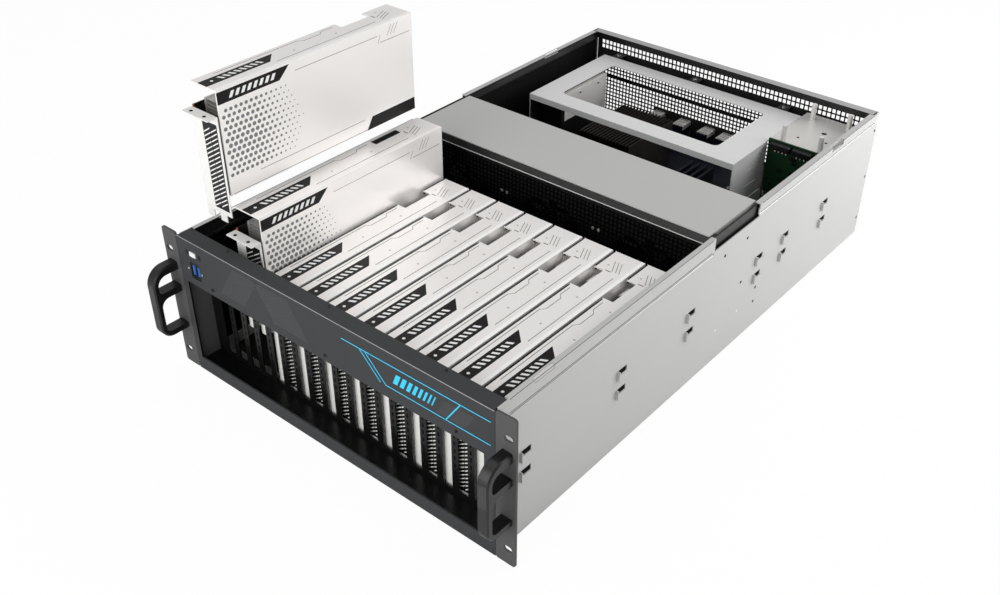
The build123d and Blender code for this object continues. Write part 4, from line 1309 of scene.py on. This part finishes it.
@dataclass
class RearPanel(SubAssembly):
    """The perforated rear panel."""

    zones: tuple[tuple[Span, Span, Span], ...] = (
        ((-208.0, 200.0), (147.8, 162.0), (6.4, 7.1)),
        ((-206.0, 121.0), (110.0, 126.0), (5.5, 5.33)),
        ((-206.0, -110.0), (55.0, 106.0), (5.5, 5.67)),
        ((24.0, 121.0), (55.0, 106.0), (5.5, 5.67)),
        ((-110.0, 24.0), (83.33, 106.0), (5.5, 5.67)),
    )
    web: float = 1.6

    def build(self) -> None:
        """Cuts the windows and fills them with perforated sheet."""
        solid = bpy.data.objects["rear_panel"]
        plate = solid.copy()
        plate.data = solid.data.copy()
        for key in list(plate.keys()):
            del plate[key]
        plate.parent = None
        bpy.context.scene.collection.objects.link(plate)
        self.settle(plate, "rear_plate")
        bpy.ops.object.mode_set(mode="EDIT")
        bpy.ops.mesh.select_all(action="SELECT")
        bpy.ops.mesh.remove_doubles(threshold=0.00001)
        bpy.ops.object.mode_set(mode="OBJECT")
        back = self.box("rear_panel").y[1]
        for number, (x, z, pitch) in enumerate(self.zones, 1):
            cutter = self.block("cutter", x, (back - 3, back + 2), z)
            self.apply(plate, "BOOLEAN", object=cutter, operation="DIFFERENCE", solver="EXACT")
            bpy.data.objects.remove(cutter)
            screen = self.perforated(
                f"rear_screen_{number}", x, back - 0.6, z, pitch, self.web, 1.0
            )
            self.add(screen, MESH_BLACK)
        self.add(plate, BLACK_STEEL, "black_steel")
        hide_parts("rear_panel")
        rim = self.block("rear_rim", (-214, 214), (back - 12, back - 0.2), (174.9, 175.06))
        self.add(rim, RIM_GREY)


@dataclass
class PowerSupply(SubAssembly):
    """A pluggable power supply."""

    number: int = 1

    def build(self) -> None:
        """Dresses the supply and adds its latch."""
        name = f"power_supply_{self.number}"
        self.dress(name, BARE_STEEL)
        left = sum(self.box(name).x) / 2 - 4
        latch = self.block(
            f"supply_{self.number}_latch", (left, left + 4.5), (744, 752), (12, 26), 0.8
        )
        self.add(latch, LATCH_ORANGE)


@dataclass
class DriveCage(SubAssembly):
    """The drive cage with its two boards and plugs."""

    seed: int = 11
    chip_count: int = 26
    plug_centres: tuple[float, ...] = (146.0, 175.5)

    def build(self) -> None:
        """Builds and dresses the cage and its boards."""
        self.dress("drive_cage", BARE_STEEL)
        self.dress("drive_boards", GREEN_BOARD)
        front, back = self.box("drive_boards").y
        for number, x in enumerate(self.plug_centres, 1):
            name = f"drive_plug_{number}"
            span, depth = (x - 12.7, x + 12.7), (front - 0.3, front + 9.2)
            self.add(self.block(name, span, depth, (143.8, 151.2), 0.4), SOCKET_BLACK)
            pin = self.rod("pin", (x - 7.6, front + 6, 139), 0.7, 5.2, Facing.UP, 8)
            shifts = [(5.08 * index, 0, 0) for index in range(4)]
            self.add_row(pin, shifts, f"{name}_pins", WHITE_CAP)
        rng = random.Random(self.seed)
        chips = []
        for _ in range(self.chip_count):
            x, z = rng.uniform(130, 202), rng.uniform(88, 134)
            size = rng.choice((2.0, 3.0, 5.0))
            span, depth = (x, x + size * 1.4), (back - 3, back - 1.9)
            chips.append(self.block("chip", span, depth, (z, z + size)))
        self.add_joined(chips, "drive_board_chips", CHIP_BLACK_AND_PAINTED_SHADE)


@dataclass
class DriveTray(SubAssembly):
    """One drive tray with its vents."""

    number: int = 1
    vent_pitch: float = 2.8

    def build(self) -> None:
        """Dresses the tray and adds its vents."""
        name = f"drive_tray_{self.number}"
        self.dress(name, FAN_BLACK)
        tray = self.box(name)
        left, back = tray.x[0] + 5, tray.y[1]
        height = (tray.z[0] + 3, tray.z[1] - 3)
        vent = self.block("vent", (left, left + 1.6), (back - 0.3, back + 0.05), height)
        shifts = [
            (start + self.vent_pitch * index, 0, 0) for start in (0, 48) for index in range(7)
        ]
        self.add_row(vent, shifts, f"tray_{self.number}_vents", HOLE_BLACK_AND_PAINTED_SHADE)


@dataclass
class Studio(Bench):
    """The pale floor, the soft lamps and the camera."""

    camera_place: Point = (681.07, -544.88, 791.89)
    camera_turn: Point = (55.009, -0.032, 40.064)
    lens: float = 40.52
    floor_size: float = 12.0
    floor_tone: float = 0.85
    floor_white: float = 0.96
    sky: float = 0.46
    lamps: tuple[tuple[Point, float, float], ...] = (
        ((0.0, -1500.0, 650.0), 1.2, 13.0),
        ((-900.0, -200.0, 1900.0), 1.6, 6.0),
        ((850.0, 1000.0, 600.0), 1.0, 15.0),
    )

    def build(self) -> None:
        """Sets up the floor, the lamps, the world and the camera."""
        self.floor()
        self.light()
        self.camera()
        bpy.context.scene.view_settings.view_transform = "Standard"

    def floor(self) -> None:
        """Adds the pale floor."""
        self.deselect()
        bpy.ops.mesh.primitive_plane_add(size=self.floor_size, location=(0, 0, -0.0005))
        floor = bpy.context.object
        floor.name = "studio_floor"
        material = bpy.data.materials.new("studio_floor")
        material.use_nodes = True
        tree = material.node_tree
        shader = tree.nodes["Principled BSDF"]
        shader.inputs["Base Color"].default_value = (*[self.floor_tone] * 3, 1)
        shader.inputs["Roughness"].default_value = 0.9
        show_camera(tree, shader, self.floor_white, "Emission", "Material Output")
        floor.data.materials.append(material)

    def light(self) -> None:
        """Adds the world and the area lamps, all aimed at the middle of the chassis."""
        world = bpy.data.worlds.new("studio")
        bpy.context.scene.world = world
        world.use_nodes = True
        sky = world.node_tree.nodes["Background"]
        sky.inputs["Color"].default_value = WHITE
        sky.inputs["Strength"].default_value = self.sky
        show_camera(world.node_tree, sky, 1.0, "Background", "World Output")
        for number, (place, size, power) in enumerate(self.lamps, 1):
            self.deselect()
            bpy.ops.object.light_add(type="AREA", location=Vector(place) * MM)
            lamp = bpy.context.object
            lamp.name = f"studio_lamp_{number}"
            lamp.data.size = size
            lamp.data.energy = power
            aim = Vector((0, 0, 0.1)) - lamp.location
            lamp.rotation_euler = aim.to_track_quat("-Z", "Y").to_euler()

    def camera(self) -> None:
        """Adds the camera at the photograph's place."""
        self.deselect()
        bpy.ops.object.camera_add(
            location=self.point(*self.camera_place),
            rotation=[math.radians(turn) for turn in self.camera_turn],
        )
        camera = bpy.context.object
        camera.data.lens = self.lens
        camera.data.sensor_width = 36.0
        bpy.context.scene.camera = camera


def main() -> None:
    """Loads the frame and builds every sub-assembly."""
    logging.basicConfig(level=logging.INFO, format="%(message)s")
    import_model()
    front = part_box("rack_ear_right")[0].y / MM
    fixed = (
        FrontBezel,
        EarsAndHandles,
        SidePanels,
        BracketWall,
        CardSockets,
        FanWall,
        MainBoard,
        Bridge,
        RearPanel,
        DriveCage,
    )
    assemblies: list[SubAssembly] = [kind(front) for kind in fixed]
    assemblies += [Card(front, f"card_{n:02d}", n, seated=n > 2) for n in range(1, 11)]
    assemblies += [PowerSupply(front, f"supply_{n}", n) for n in (1, 2)]
    assemblies += [DriveTray(front, f"tray_{n}", n) for n in (1, 2)]
    for assembly in assemblies:
        assembly.build()
    Studio(front).build()


if __name__ == "__main__":
    main()
